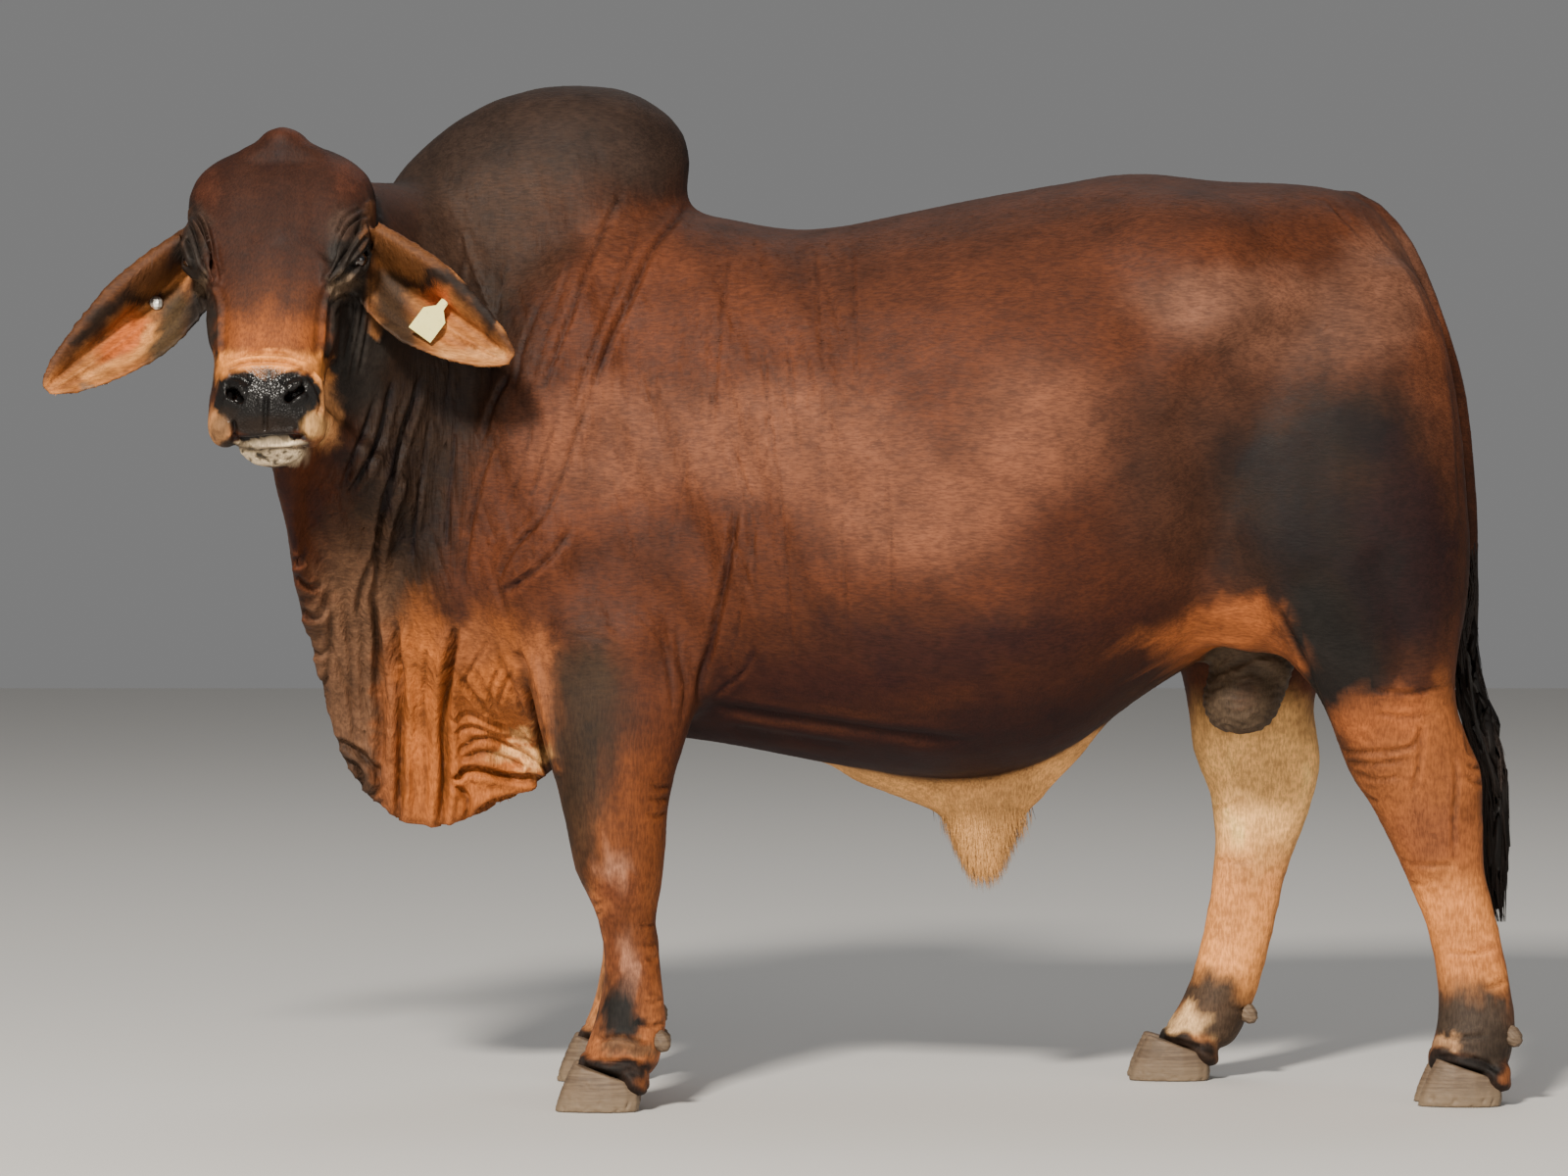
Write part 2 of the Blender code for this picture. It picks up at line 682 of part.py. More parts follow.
def build_flesh(parts, cutters):
    """The body without its head, melted into one and parted into the parts a person names."""
    forms = [torso_form(cutters), neck_form(cutters), dewlap_form(cutters)]
    forms.append(level_loft("hump_form", HUMP, cutters, sides=28, power=2.1))
    for side, sign in (("left", -1), ("right", 1)):
        forms.append(fore_leg_form(side, cutters))
        forms.append(hind_leg_form(side, cutters))
        for name, form in (
            ("blade", SHOULDER_BLADE),
            ("arm", UPPER_ARM),
            ("hook", HOOK_BONE),
            ("flank", FLANK_FOLD),
        ):
            forms.append(swelling(name + side, form, sign, cutters))
    torso = fused("torso", forms, FLESH_VOXEL, FLESH_BLEND, FLESH_TRIANGLES, parts)
    pieces = {}
    cuts = [("hump", HUMP_CUT, -CUT_REACH, CUT_REACH)]
    for side, sign in (("left", -1), ("right", 1)):
        cuts.append(("foreleg_" + side, FORE_CUT, sign * FORE_CUT_FROM, sign * CUT_REACH))
        cuts.append(("hindleg_" + side, HIND_CUT, sign * HIND_CUT_FROM, sign * CUT_REACH))
    cuts.append(("dewlap", DEWLAP_CUT, -CUT_REACH, CUT_REACH))
    cuts.append(("neck", NECK_CUT, -CUT_REACH, CUT_REACH))
    for name, outline, near, far in cuts:
        region = prism("cut_" + name, outline, near, far, cutters)
        pieces[name] = part_off(torso, name, region, parts, cutters)
    pieces["torso"] = torso
    return pieces


def claw(name, x, y, parts):
    """One claw of a hoof, flat on its sole, with its toe to the front."""
    toe, heel = 0.52 * CLAW_LENGTH, 0.48 * CLAW_LENGTH
    rings = []
    for level, front_share, back_share, half_share in CLAW:
        front, back, half = toe * front_share, heel * back_share, CLAW_HALF_WIDTH * half_share
        points = []
        for u, v in ring(14, back, front, half, half, 2.4):
            slope = 1.0 - HEEL_DROP * (u + front) / (front + back)
            pinch = 1.0 - TOE_PINCH * max(-u / toe, 0.0)
            points.append((x + u, y + v * pinch, level * CLAW_HEIGHT * slope))
        rings.append(points)
    return loft(name, rings, parts)


def dewclaw(name, place, outward, parts):
    """A small blunt horn behind the fetlock."""
    mesh = bmesh.new()
    bmesh.ops.create_uvsphere(mesh, u_segments=8, v_segments=5, radius=1.0)
    turn = Matrix.Rotation(math.radians(-32), 4, "Y") @ Matrix.Rotation(0.3 * outward, 4, "X")
    shape = Matrix.Translation(place) @ turn @ Matrix.Diagonal((*DEWCLAW_RADII, 1.0))
    bmesh.ops.transform(mesh, matrix=shape, verts=mesh.verts)
    return object_from(name, mesh, parts)


def build_feet(pieces, parts, cutters):
    """Two claws and two dewclaws on each leg."""
    for limb, levels, spreads in (("fore", FORE_LEG, FORE_SPREAD), ("hind", HIND_LEG, HIND_SPREAD)):
        for side, sign in (("left", -1), ("right", 1)):
            foot = limb + "_" + side
            leg = pieces[limb + "leg_" + side]
            out = levels[-1][3] if limb == "fore" else levels[-1][2]
            y = sign * (out + spreads[side])
            claws = []
            for inner, outward in (("inner", -sign), ("outer", sign)):
                name = "hoof_" + foot + "_" + inner
                claws.append(claw(name, HOOF_CENTRE[foot], y + outward * CLAW_APART, parts))
            trimmed(leg, claws, cutters)
            pieces.update({item.name: item for item in claws})
            tree = tree_of(leg)
            for inner, outward in (("inner", -sign), ("outer", sign)):
                start = Vector((HOOF_CENTRE[foot] + 0.4, y + outward * DEWCLAW_APART, DEWCLAW_LEVEL))
                hit = tree.ray_cast(start, Vector((-1, 0, 0)))[0]
                item = dewclaw("dewclaw_" + foot + "_" + inner, hit + Vector((0.004, 0, 0)), outward, parts)
                pieces[item.name] = trimmed(item, [leg], cutters)


def tree_of(item):
    """A search tree over an object's surface."""
    mesh = bmesh_of(item)
    tree = BVHTree.FromBMesh(mesh)
    mesh.free()
    return tree


def head_matrix():
    """From the head's own frame (along, left, out of the face) to the bull's."""
    pitch, yaw = HEAD_PITCH, HEAD_YAW
    along = Vector((-math.sin(yaw) * math.cos(pitch), -math.cos(yaw) * math.cos(pitch), -math.sin(pitch)))
    out = Vector((-math.sin(yaw) * math.sin(pitch), -math.cos(yaw) * math.sin(pitch), math.cos(pitch)))
    frame = Matrix((along, out.cross(along), out)).transposed().to_4x4()
    return Matrix.Translation(POLL) @ frame


def ellipsoid(name, centre, radii, turn, place, collection, segments=20):
    """An ellipsoid turned about its centre and placed by a matrix."""
    mesh = bmesh.new()
    bmesh.ops.create_uvsphere(mesh, u_segments=segments, v_segments=segments * 2 // 3, radius=1.0)
    shape = place @ Matrix.Translation(centre) @ turn @ Matrix.Diagonal((*radii, 1.0))
    bmesh.ops.transform(mesh, matrix=shape, verts=mesh.verts)
    return object_from(name, mesh, collection)


def turned_to(direction, along):
    """A turn whose z axis points in a direction and whose x axis leans along another."""
    z = direction.normalized()
    y = z.cross(along).normalized()
    return Matrix((y.cross(z), y, z)).transposed().to_4x4()


def mirrored(point, sign):
    """A point of the head on its left (1) or right (-1)."""
    return Vector((point[0], sign * point[1], point[2]))


def head_form(place, cutters):
    """The skull and jaws with brows, cheeks, lips and lids, before anything is cut into them."""
    still = Matrix.Identity(4)
    rings = []
    for along, face, jaw, widest, half, square in interpolated(HEAD, 3):
        points = ring(32, half, half, face - widest, widest - jaw, square, 2.1)
        rings.append([place @ Vector((along, u, widest + v)) for u, v in points])
    forms = [loft("skull", rings, cutters)]
    forms.append(ellipsoid("knob", *POLL_KNOB, still, place, cutters))
    forms.append(ellipsoid("ridge", *POLL_RIDGE, still, place, cutters))
    forms.append(ellipsoid("chin", *CHIN, still, place, cutters))
    for sign in (1, -1):
        for name, (centre, radii) in (
            ("brow", BROW),
            ("cheek", CHEEK),
            ("crest", CREST),
            ("lip", LIP),
        ):
            forms.append(ellipsoid(name, mirrored(centre, sign), radii, still, place, cutters))
        for radius, points in WELTS:
            run = [place @ mirrored(point, sign) for point in points]
            forms.append(tube("welt", run, radius, cutters))
        lid = EYE_RADIUS + LID_THICKNESS
        forms.append(ellipsoid("lid", mirrored(EYE, sign), (lid,) * 3, still, place, cutters))
    return forms


def build_head(parts, cutters):
    """The head with its eyes, and the bare pad of the nose."""
    place = head_matrix()
    forms = head_form(place, cutters)
    head = fused("head", forms, HEAD_VOXEL, HEAD_BLEND, HEAD_TRIANGLES, parts)
    pieces = {}
    for side, sign in (("left", 1), ("right", -1)):
        outward = mirrored(EYE_OUT, sign)
        turn = turned_to(outward, mirrored(EYE_LINE, sign))
        centre = mirrored(EYE, sign)
        eye = ellipsoid("eye_" + side, centre, (EYE_RADIUS,) * 3, turn, place, parts, 10)
        opening = centre + outward.normalized() * (EYE_RADIUS + 0.012)
        slit = ellipsoid("slit", opening, (*EYE_OPENING, 0.022), turn, place, cutters, 14)
        boolean(head, slit, "DIFFERENCE")
        remove([slit])
        trimmed(head, [eye], cutters)
        pieces[eye.name] = eye
        inward = turned_to(Vector((-0.25, -0.15 * sign, -1.0)), Vector((1.0, -0.9 * sign, 0.0)))
        hole = ellipsoid(
            "nostril", mirrored(NOSTRIL, sign), NOSTRIL_RADII, inward, place, cutters, 14
        )
        boolean(head, hole, "DIFFERENCE")
        remove([hole])
    groove = mouth_line(head, place, cutters)
    boolean(head, groove, "DIFFERENCE")
    remove([groove])
    outline = nose_outline(place, cutters)
    pieces["nose_pad"] = part_off(head, "nose_pad", outline, parts, cutters)
    pieces["head"] = head
    return pieces


def mouth_line(head, place, cutters):
    """A thin tube laid round the muzzle just under the surface, which cuts the line of the mouth."""
    tree = tree_of(head)
    middle = 0.420
    points = []
    for turn in np.radians(np.arange(-84, 85, 7)):
        level = MOUTH_LEVEL - MOUTH_DROP * abs(math.sin(turn)) ** 3
        start = place @ Vector((middle, 0.0, level))
        aim = place.to_3x3() @ Vector((math.cos(turn), math.sin(turn), 0.0))
        hit = tree.ray_cast(start + aim * 0.3, -aim)[0]
        points.append(hit - aim * 0.5 * MOUTH_RADIUS)
    return tube("mouth", points, MOUTH_RADIUS, cutters)


def nose_outline(place, cutters):
    """The block of the muzzle that the bare pad takes in, deepest at its end."""
    rings = []
    for along, half, low in NOSE_PAD:
        points = ring(20, half, half, 0.05, 0.05, 3.0)
        rings.append([place @ Vector((along, u, low + 0.05 + v)) for u, v in points])
    return loft("pad_region", rings, cutters)


def ear_blade(side, share, across):
    """A point of an ear's cupped middle surface, and the height of the cup there."""
    root, tip = EAR_ROOT[side], EAR_TIP[side]
    table = np.array(EAR)
    half = np.interp(share, table[:, 0], table[:, 1])
    cup = np.interp(share, table[:, 0], table[:, 2])
    line = root.lerp(tip, share) - Vector((0, 0, EAR_SAG * 4 * share * (1 - share)))
    along = (tip - root).normalized()
    back = Vector((0.0, 1.0, 0.0))
    width = along.cross(back).normalized()
    return line + width * half * across + back * cup * (1 - across**2)


def build_ear(side, head, parts, cutters):
    """A long ear that hangs out from the head, cupped towards the viewer."""
    rows, columns = 10, 8
    mesh = bmesh.new()
    shares = np.linspace(0.0, 1.0, rows)
    grid = []
    for share in shares:
        grid.append([mesh.verts.new(ear_blade(side, share, a)) for a in np.linspace(-1, 1, columns)])
    for one, two in zip(grid, grid[1:]):
        for i in range(columns - 1):
            mesh.faces.new((one[i], one[i + 1], two[i + 1], two[i]))
    item = object_from("ear_" + side, mesh, parts)
    shell = item.modifiers.new("shell", "SOLIDIFY")
    shell.thickness = EAR_THICKNESS
    shell.offset = 0.0
    shell.use_even_offset = True
    largest_body(applied(item))
    return trimmed(item, [head], cutters)


def ear_front(ear, place):
    """The point of an ear's front at a place seen from the bull's left."""
    x, z = place
    return tree_of(ear).ray_cast(Vector((x, -1.0, z)), Vector((0, 1, 0)))[0]


def build_ear_tag(ear, parts, cutters):
    """A plastic tag that hangs in front of the ear on a short pin."""
    hit = ear_front(ear, TAG_PLACE)
    plate = prism("ear_tag", [(a, -d) for a, d in TAG_OUTLINE], 0.0, TAG_THICKNESS, parts)
    lean = Matrix.Rotation(TAG_DOWN, 4, "Y") @ Matrix.Rotation(-TAG_LEAN, 4, "X")
    plate.data.transform(Matrix.Translation(hit + Vector((0, -0.011, 0))) @ lean)
    mesh = bmesh.new()
    place = Matrix.Translation(hit) @ Matrix.Rotation(math.radians(90), 4, "X")
    bmesh.ops.create_cone(
        mesh,
        cap_ends=True,
        segments=12,
        radius1=TAG_PIN_RADIUS,
        radius2=TAG_PIN_RADIUS,
        depth=0.026,
        matrix=place,
    )
    pin = object_from("tag_pin", mesh, cutters)
    boolean(plate, pin, "UNION")
    remove([pin])
    return trimmed(plate, [ear], cutters)


def build_ear_stud(ear, parts, cutters):
    """A small round stud set in the ear."""
    hit = ear_front(ear, STUD_PLACE)
    still = Matrix.Identity(4)
    radii = (STUD_RADIUS, 0.006, STUD_RADIUS)
    stud = ellipsoid("ear_stud", hit, radii, still, still, parts, 9)
    return trimmed(stud, [ear], cutters)


def dewlap_form(collection):
    """The loose folded sheet of skin from the throat to between the fore legs."""
    shares = np.linspace(0.0, 1.0, 12)
    rings = []
    rows = interpolated(DEWLAP, 7)
    for i, row in enumerate(rows):
        root, edge, thick = Vector(row[:3]), Vector(row[3:6]), row[6]
        run = Vector(rows[min(i + 1, len(rows) - 1)][3:6]) - Vector(rows[max(i - 1, 0)][3:6])
        normal = run.cross(edge - root).normalized()
        points = []
        for side, down in ((1, shares), (-1, shares[::-1])):
            for share in down:
                line = root.lerp(edge, share)
                half = DEWLAP_EDGE_HALF + (thick - DEWLAP_EDGE_HALF) * (1 - share) ** 1.6
                half *= math.sqrt(max(1.0 - 60 * max(share - 0.9, 0.0) ** 2, 0.05))
                wave = math.sin(2 * math.pi * line.x / FOLD_PITCH)
                fold = FOLD_DEPTH * wave * math.sin(math.pi * min(share, 0.9)) ** 0.5
                points.append(line + normal * (side * half + fold))
        rings.append(points)
    return loft("dewlap_form", rings, collection)


def round_loft(name, rows, sides, steps, collection):
    """A loft along a line of centres with a half depth and a half width at each."""
    rows = interpolated(rows, steps)
    rings = []
    for i, (x, y, z, deep, wide) in enumerate(rows):
        before, after = rows[max(i - 1, 0)], rows[min(i + 1, len(rows) - 1)]
        run = Vector(after[:3]) - Vector(before[:3])
        across = Vector((0.0, 1.0, 0.0))
        normal = run.cross(across).normalized()
        points = ring(sides, deep, deep, wide, wide, 2.0)
        rings.append([Vector((x, y, z)) + normal * u + across * v for u, v in points])
    return loft(name, rings, collection)


def lock(name, points, out, width, thickness, collection):
    """A flat tapered lock of hair that bends along points, its face turned outwards."""
    rings = []
    last = len(points) - 1
    for i, point in enumerate(points):
        run = (points[min(i + 1, last)] - points[max(i - 1, 0)]).normalized()
        across = run.cross(out).normalized()
        face = across.cross(run)
        taper = LOCK_TAPER[i]
        half, deep = across * width * taper / 2, face * thickness * taper / 2
        rings.append([point - half, point - deep, point + half, point + deep])
    return loft(name, rings, collection)


def joined(base, pieces, parts):
    """Fuse closed pieces into a base by one union, and keep the one body."""
    bundle = new_collection("bundle")
    for piece in pieces:
        bundle.objects.link(piece)
    modifier = base.modifiers.new("join", "BOOLEAN")
    modifier.operand_type = "COLLECTION"
    modifier.collection = bundle
    modifier.operation = "UNION"
    modifier.solver = "EXACT"
    applied(base)
    remove(pieces)
    bpy.data.collections.remove(bundle)
    return largest_body(base)


def build_switch(parts, cutters, draw):
    """The switch: a slim core and tiers of flat locks that bend down round it and overlap."""
    table = np.array(SWITCH)[::-1]

    def hang(level):
        x, y, reach = (np.interp(level, table[:, 2], table[:, i]) for i in (0, 1, 3))
        return Vector((x, y, level)), reach

    core = [row for row in SWITCH if row[2] > SWITCH_CORE_TO] + [(1.148, 0.0, SWITCH_CORE_TO, 0.008)]
    rows = [(x, y, z, 0.62 * reach, 0.62 * reach) for x, y, z, reach in core]
    switch = round_loft("tail_switch", rows, 8, 1, parts)
    locks = []
    for tier, (level, count, length) in enumerate(SWITCH_TIERS):
        for i in range(count):
            turn = 2 * math.pi * (i + 0.5 * (tier % 2)) / count + draw.uniform(-0.15, 0.15)
            out = Vector((math.cos(turn), math.sin(turn), 0.0))
            drop = length * draw.uniform(0.88, 1.0)
            points = []
            for share, stand in LOCK_STAND:
                centre, reach = hang(max(level - share * drop, 0.279 + 0.004 * i))
                points.append(centre + out * max(reach * stand, 0.003))
            locks.append(lock("lock", points, out, LOCK_WIDTH, LOCK_THICKNESS, cutters))
    return joined(switch, locks, parts)


def build_tail(pieces, parts, cutters, draw):
    """The tail down the rump, and the switch of long hair at its end."""
    tail = round_loft("tail", [(x, y, z, r, r) for x, y, z, r in TAIL], 12, 2, parts)
    switch = build_switch(parts, cutters, draw)
    body = [pieces["torso"], pieces["hindleg_left"], pieces["hindleg_right"]]
    trimmed(tail, body, cutters)
    trimmed(switch, [tail, *body], cutters)
    return {"tail": tail, "tail_switch": switch}


def sheath_locks(cutters, draw):
    """The short locks of hair round the sheath's end, drawn together at their tips."""
    table = np.array(SHEATH)[::-1]
    root, tip = SHEATH_HAIR
    locks = []
    for i in range(SHEATH_LOCKS):
        turn = 2 * math.pi * i / SHEATH_LOCKS
        out = Vector((math.cos(turn), math.sin(turn), 0.0))
        end = tip + draw.uniform(0.0, 0.014)
        points = []
        for share, stand in LOCK_STAND:
            height = root + (end - root) * share
            front, back, half = (np.interp(height, table[:, 0], table[:, k]) for k in (1, 2, 3))
            middle, reach = (front + back) / 2, (back - front) / 2
            points.append(Vector((middle + out.x * reach * stand, out.y * half * stand, height)))
        locks.append(lock("tuft", points, out, SHEATH_LOCK_WIDTH, LOCK_THICKNESS, cutters))
    return locks


def build_underside(pieces, parts, cutters, draw):
    """The sheath under the belly and the scrotum between the thighs."""
    body = [pieces["torso"], pieces["hindleg_left"], pieces["hindleg_right"]]
    sheath = level_loft("sheath", SHEATH, parts, sides=14, steps=1)
    scrotum = level_loft("scrotum", SCROTUM, parts, side=-0.01, sides=14)
    joined(sheath, sheath_locks(cutters, draw), parts)
    trimmed(sheath, body[:1], cutters)
    trimmed(scrotum, body, cutters)
    return {"sheath": sheath, "scrotum": scrotum}


def finish(name, item, look):
    """Give a part its material and smooth shading."""
    item.name = name
    item.data.name = name
    item.data.materials.clear()
    item.data.materials.append(look)
    item.data.shade_smooth()


def looks():
    """The materials of the parts, by what their names begin with."""
    coat = surface("red_coat", (0.20, 0.065, 0.035), 0.55)
    dark = surface("dark_coat", (0.09, 0.045, 0.035), 0.55)
    tan = surface("tan_coat", (0.42, 0.17, 0.07), 0.6)
    horn = surface("grey_horn", (0.30, 0.26, 0.22), 0.5)
    black = surface("black_hair", (0.012, 0.011, 0.012), 0.5)
    nose = surface("wet_nose", (0.010, 0.009, 0.010), 0.22)
    eye = surface("dark_eye", (0.015, 0.010, 0.008), 0.08)
    grey = surface("grey_skin", (0.12, 0.09, 0.08), 0.6)
    plastic = surface("yellow_plastic", (0.72, 0.68, 0.30), 0.45)
    metal = surface("pale_metal", (0.55, 0.52, 0.46), 0.35)
    return {
        "hump": dark,
        "neck": dark,
        "dewlap": tan,
        "hoof": horn,
        "dewclaw": horn,
        "tail_switch": black,
        "nose": nose,
        "eye": eye,
        "scrotum": grey,
        "ear_tag": plastic,
        "ear_stud": metal,
        "sheath": tan,
        "": coat,
    }


def stand_on_origin(pieces):
    """Hang every part from one empty, set so that the bull stands centred on the origin."""
    low, high = np.full(3, np.inf), np.full(3, -np.inf)
    for item in pieces.values():
        points = np.array([vert.co for vert in item.data.vertices])
        low, high = np.minimum(low, points.min(0)), np.maximum(high, points.max(0))
    stand = bpy.data.objects.new("stance", None)
    bpy.context.scene.collection.objects.link(stand)
    stand.location = (-(low[0] + high[0]) / 2, -(low[1] + high[1]) / 2, -low[2])
    for item in pieces.values():
        item.parent = stand


def main():
    """Build the whole bull."""
    clear_scene()
    parts = new_collection("brahman_bull")
    cutters = new_collection("cutters")
    pieces = build_flesh(parts, cutters)
    build_feet(pieces, parts, cutters)
    pieces.update(build_head(parts, cutters))
    face = [pieces["head"], pieces["nose_pad"]]
    trimmed(pieces["neck"], face, cutters, gap=2 * GAP)
    trimmed(pieces["hump"], face[:1], cutters)
    for side in ("left", "right"):
        ear = build_ear(side, pieces["head"], parts, cutters)
        pieces[ear.name] = trimmed(ear, [pieces["neck"]], cutters)
    pieces["ear_tag"] = build_ear_tag(pieces["ear_left"], parts, cutters)
    pieces["ear_stud"] = build_ear_stud(pieces["ear_right"], parts, cutters)
    trimmed(pieces["dewlap"], face[:1], cutters)
    draw = random.Random(SEED)
    pieces.update(build_underside(pieces, parts, cutters, draw))
    pieces.update(build_tail(pieces, parts, cutters, draw))
    materials = looks()
    for name, item in pieces.items():
        finish(name, item, materials[max(filter(name.startswith, materials), key=len)])
    stand_on_origin(pieces)


main()
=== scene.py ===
"""Looks of a red Brahman bull, as a still, life-size model that stands with its head turned.

The solids of the flesh are copied, melted into one hide and shaped further with folds, wrinkles
and lids. A short coat of solid tufts lies over it, and eyes, hooves, switch, tag and stud are pieces of
their own. Places are given in the drawing's frame, in metres, which ORIGIN sets in the model's.
"""

import math

import bmesh
import bpy
import numpy as np
from mathutils import Matrix, Vector
from mathutils.bvhtree import BVHTree


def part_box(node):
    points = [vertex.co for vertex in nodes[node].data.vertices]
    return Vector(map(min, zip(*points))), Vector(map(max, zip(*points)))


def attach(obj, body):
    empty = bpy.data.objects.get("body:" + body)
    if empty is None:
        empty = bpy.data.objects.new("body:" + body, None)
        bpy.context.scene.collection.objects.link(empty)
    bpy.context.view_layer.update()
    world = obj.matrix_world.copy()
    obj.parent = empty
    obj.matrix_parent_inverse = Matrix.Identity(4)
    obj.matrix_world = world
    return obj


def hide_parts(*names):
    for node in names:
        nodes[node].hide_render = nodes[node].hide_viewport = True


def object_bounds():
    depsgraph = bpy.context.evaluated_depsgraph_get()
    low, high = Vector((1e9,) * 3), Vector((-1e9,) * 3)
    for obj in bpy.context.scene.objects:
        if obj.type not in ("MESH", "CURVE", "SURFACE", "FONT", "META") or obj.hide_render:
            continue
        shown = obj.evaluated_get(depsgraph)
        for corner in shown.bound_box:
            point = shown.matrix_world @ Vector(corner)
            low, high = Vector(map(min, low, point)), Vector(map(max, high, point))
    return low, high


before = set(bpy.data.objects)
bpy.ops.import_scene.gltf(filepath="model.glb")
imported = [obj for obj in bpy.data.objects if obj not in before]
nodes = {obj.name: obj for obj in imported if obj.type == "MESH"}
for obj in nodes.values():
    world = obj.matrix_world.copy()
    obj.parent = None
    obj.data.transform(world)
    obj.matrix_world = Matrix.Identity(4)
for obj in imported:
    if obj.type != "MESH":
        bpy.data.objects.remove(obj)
cad_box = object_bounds()

# Camera: the photograph's, to the bull's left, level with its horizon
PICTURE_WIDTH = 1600
FOCAL_PIXELS = 6220
HORIZON = 425
HORIZON_ABOVE_MIDDLE = 175
CAMERA_DISTANCE = 10.0
CAMERA_HEIGHT = 1.11

# Head: where it hangs and how it is turned, as (along the face, to its left, out of the face)
POLL = Vector((-0.796, -0.350, 1.551))
HEAD_PITCH = math.radians(63)
HEAD_YAW = math.radians(3.2)
EYE = (0.203, 0.124, -0.036)
EYE_RADIUS = 0.0215
EYE_AIM = (0.14, 0.76, 0.60)

# How finely the hide is drawn
FIRST_VOXEL = 0.012
VOXEL = 0.0046
HIDE_TRIANGLES = 196000
CLAW_TRIANGLES = 60000
CHART_TRIANGLES = 4000
WAVES = 10
GAP_CLOSER = 0.0006
COAT_DEPTH = 0.0015

SEED = 11

BODY = ("torso", "neck", "hump", "dewlap", "scrotum", "sheath")
LEGS = ("foreleg_left", "foreleg_right", "hindleg_left", "hindleg_right")
HEAD_NODES = ("head", "nose_pad")
EARS = ("ear_left", "ear_right")
FEET = [name for name in nodes if name.startswith("hoof_")]
DEWCLAWS = [name for name in nodes if name.startswith("dewclaw_")]


def head_frame():
    """From the head's own frame to the drawing's."""
    along = Vector(
        (
            -math.sin(HEAD_YAW) * math.cos(HEAD_PITCH),
            -math.cos(HEAD_YAW) * math.cos(HEAD_PITCH),
            -math.sin(HEAD_PITCH),
        )
    )
    out = Vector(
        (
            -math.sin(HEAD_YAW) * math.sin(HEAD_PITCH),
            -math.cos(HEAD_YAW) * math.sin(HEAD_PITCH),
            math.cos(HEAD_PITCH),
        )
    )
    turn = Matrix((along, out.cross(along), out)).transposed().to_4x4()
    return Matrix.Translation(POLL) @ turn


def middle_of(node):
    """The middle of a node's box."""
    low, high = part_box(node)
    return (low + high) / 2


def box_of(node):
    """The low and high corners of a node's box, as arrays."""
    return [np.array(end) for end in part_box(node)]


HEAD = head_frame()
ORIGIN = middle_of("eye_left") - HEAD @ Vector(EYE)
SHIFT = np.array(ORIGIN)


# Meshes


def deselect():
    """Leave nothing selected."""
    for item in bpy.context.selected_objects:
        item.select_set(False)


def make_active(item):
    """Select one object alone."""
    deselect()
    item.select_set(True)
    bpy.context.view_layer.objects.active = item


def object_from(name, mesh):
    """An object over a bmesh, which is used up."""
    data = bpy.data.meshes.new(name)
    mesh.to_mesh(data)
    mesh.free()
    item = bpy.data.objects.new(name, data)
    bpy.context.scene.collection.objects.link(item)
    return item


def object_of_arrays(name, points, faces):
    """An object from arrays of corners and of equal-sided faces."""
    sides = faces.shape[1]
    data = bpy.data.meshes.new(name)
    data.vertices.add(len(points))
    data.vertices.foreach_set("co", points.astype(np.float32).ravel())
    data.loops.add(faces.size)
    data.loops.foreach_set("vertex_index", faces.astype(np.int32).ravel())
    data.polygons.add(len(faces))
    data.polygons.foreach_set("loop_start", np.arange(0, faces.size, sides, dtype=np.int32))
    data.update(calc_edges=True)
    item = bpy.data.objects.new(name, data)
    bpy.context.scene.collection.objects.link(item)
    return item


def copy_of(name, parts, grow=GAP_CLOSER):
    """One new object over copies of solids, each grown a little so that they run into each other."""
    whole = bmesh.new()
    for part in parts:
        mesh = bmesh.new()
        mesh.from_mesh(nodes[part].data)
        bmesh.ops.remove_doubles(mesh, verts=mesh.verts, dist=0.00001)
        mesh.normal_update()
        moves = [vert.normal * min(vert.calc_shell_factor(), 2.0) * grow for vert in mesh.verts]
        for vert, move in zip(mesh.verts, moves):
            vert.co += move
        data = bpy.data.meshes.new("copy")
        mesh.to_mesh(data)
        mesh.free()
        whole.from_mesh(data)
        bpy.data.meshes.remove(data)
    return object_from(name, whole)


def joined(item, others):
    """Join other objects into one."""
    deselect()
    for other in others:
        other.select_set(True)
    item.select_set(True)
    bpy.context.view_layer.objects.active = item
    bpy.ops.object.join()


def finished(item, kind, **settings):
    """Add a modifier with its settings and apply it."""
    make_active(item)
    modifier = item.modifiers.new(kind.lower(), kind)
    modifier.show_viewport = False
    for name, value in settings.items():
        setattr(modifier, name, value)
    bpy.ops.object.modifier_apply(modifier=modifier.name)


def subdivided(item, chosen):
    """Cut in two the edges between chosen corners of an object."""
    mesh = bmesh.new()
    mesh.from_mesh(item.data)
    mesh.verts.ensure_lookup_table()
    edges = [edge for edge in mesh.edges if chosen[edge.verts[0].index] and chosen[edge.verts[1].index]]
    bmesh.ops.subdivide_edges(mesh, edges=edges, cuts=1, use_grid_fill=True)
    mesh.to_mesh(item.data)
    mesh.free()


def places(item):
    """The corners of an object as an array."""
    found = np.empty(len(item.data.vertices) * 3, dtype=np.float32)
    item.data.vertices.foreach_get("co", found)
    return found.reshape(-1, 3).astype(np.float64)


def place(item, points):
    """Set the corners of an object."""
    item.data.vertices.foreach_set("co", points.astype(np.float32).ravel())
    item.data.update()


def normals_of(item):
    """The corners' normals as an array."""
    found = np.empty(len(item.data.vertices) * 3, dtype=np.float32)
    item.data.vertex_normals.foreach_get("vector", found)
    return found.reshape(-1, 3).astype(np.float64)


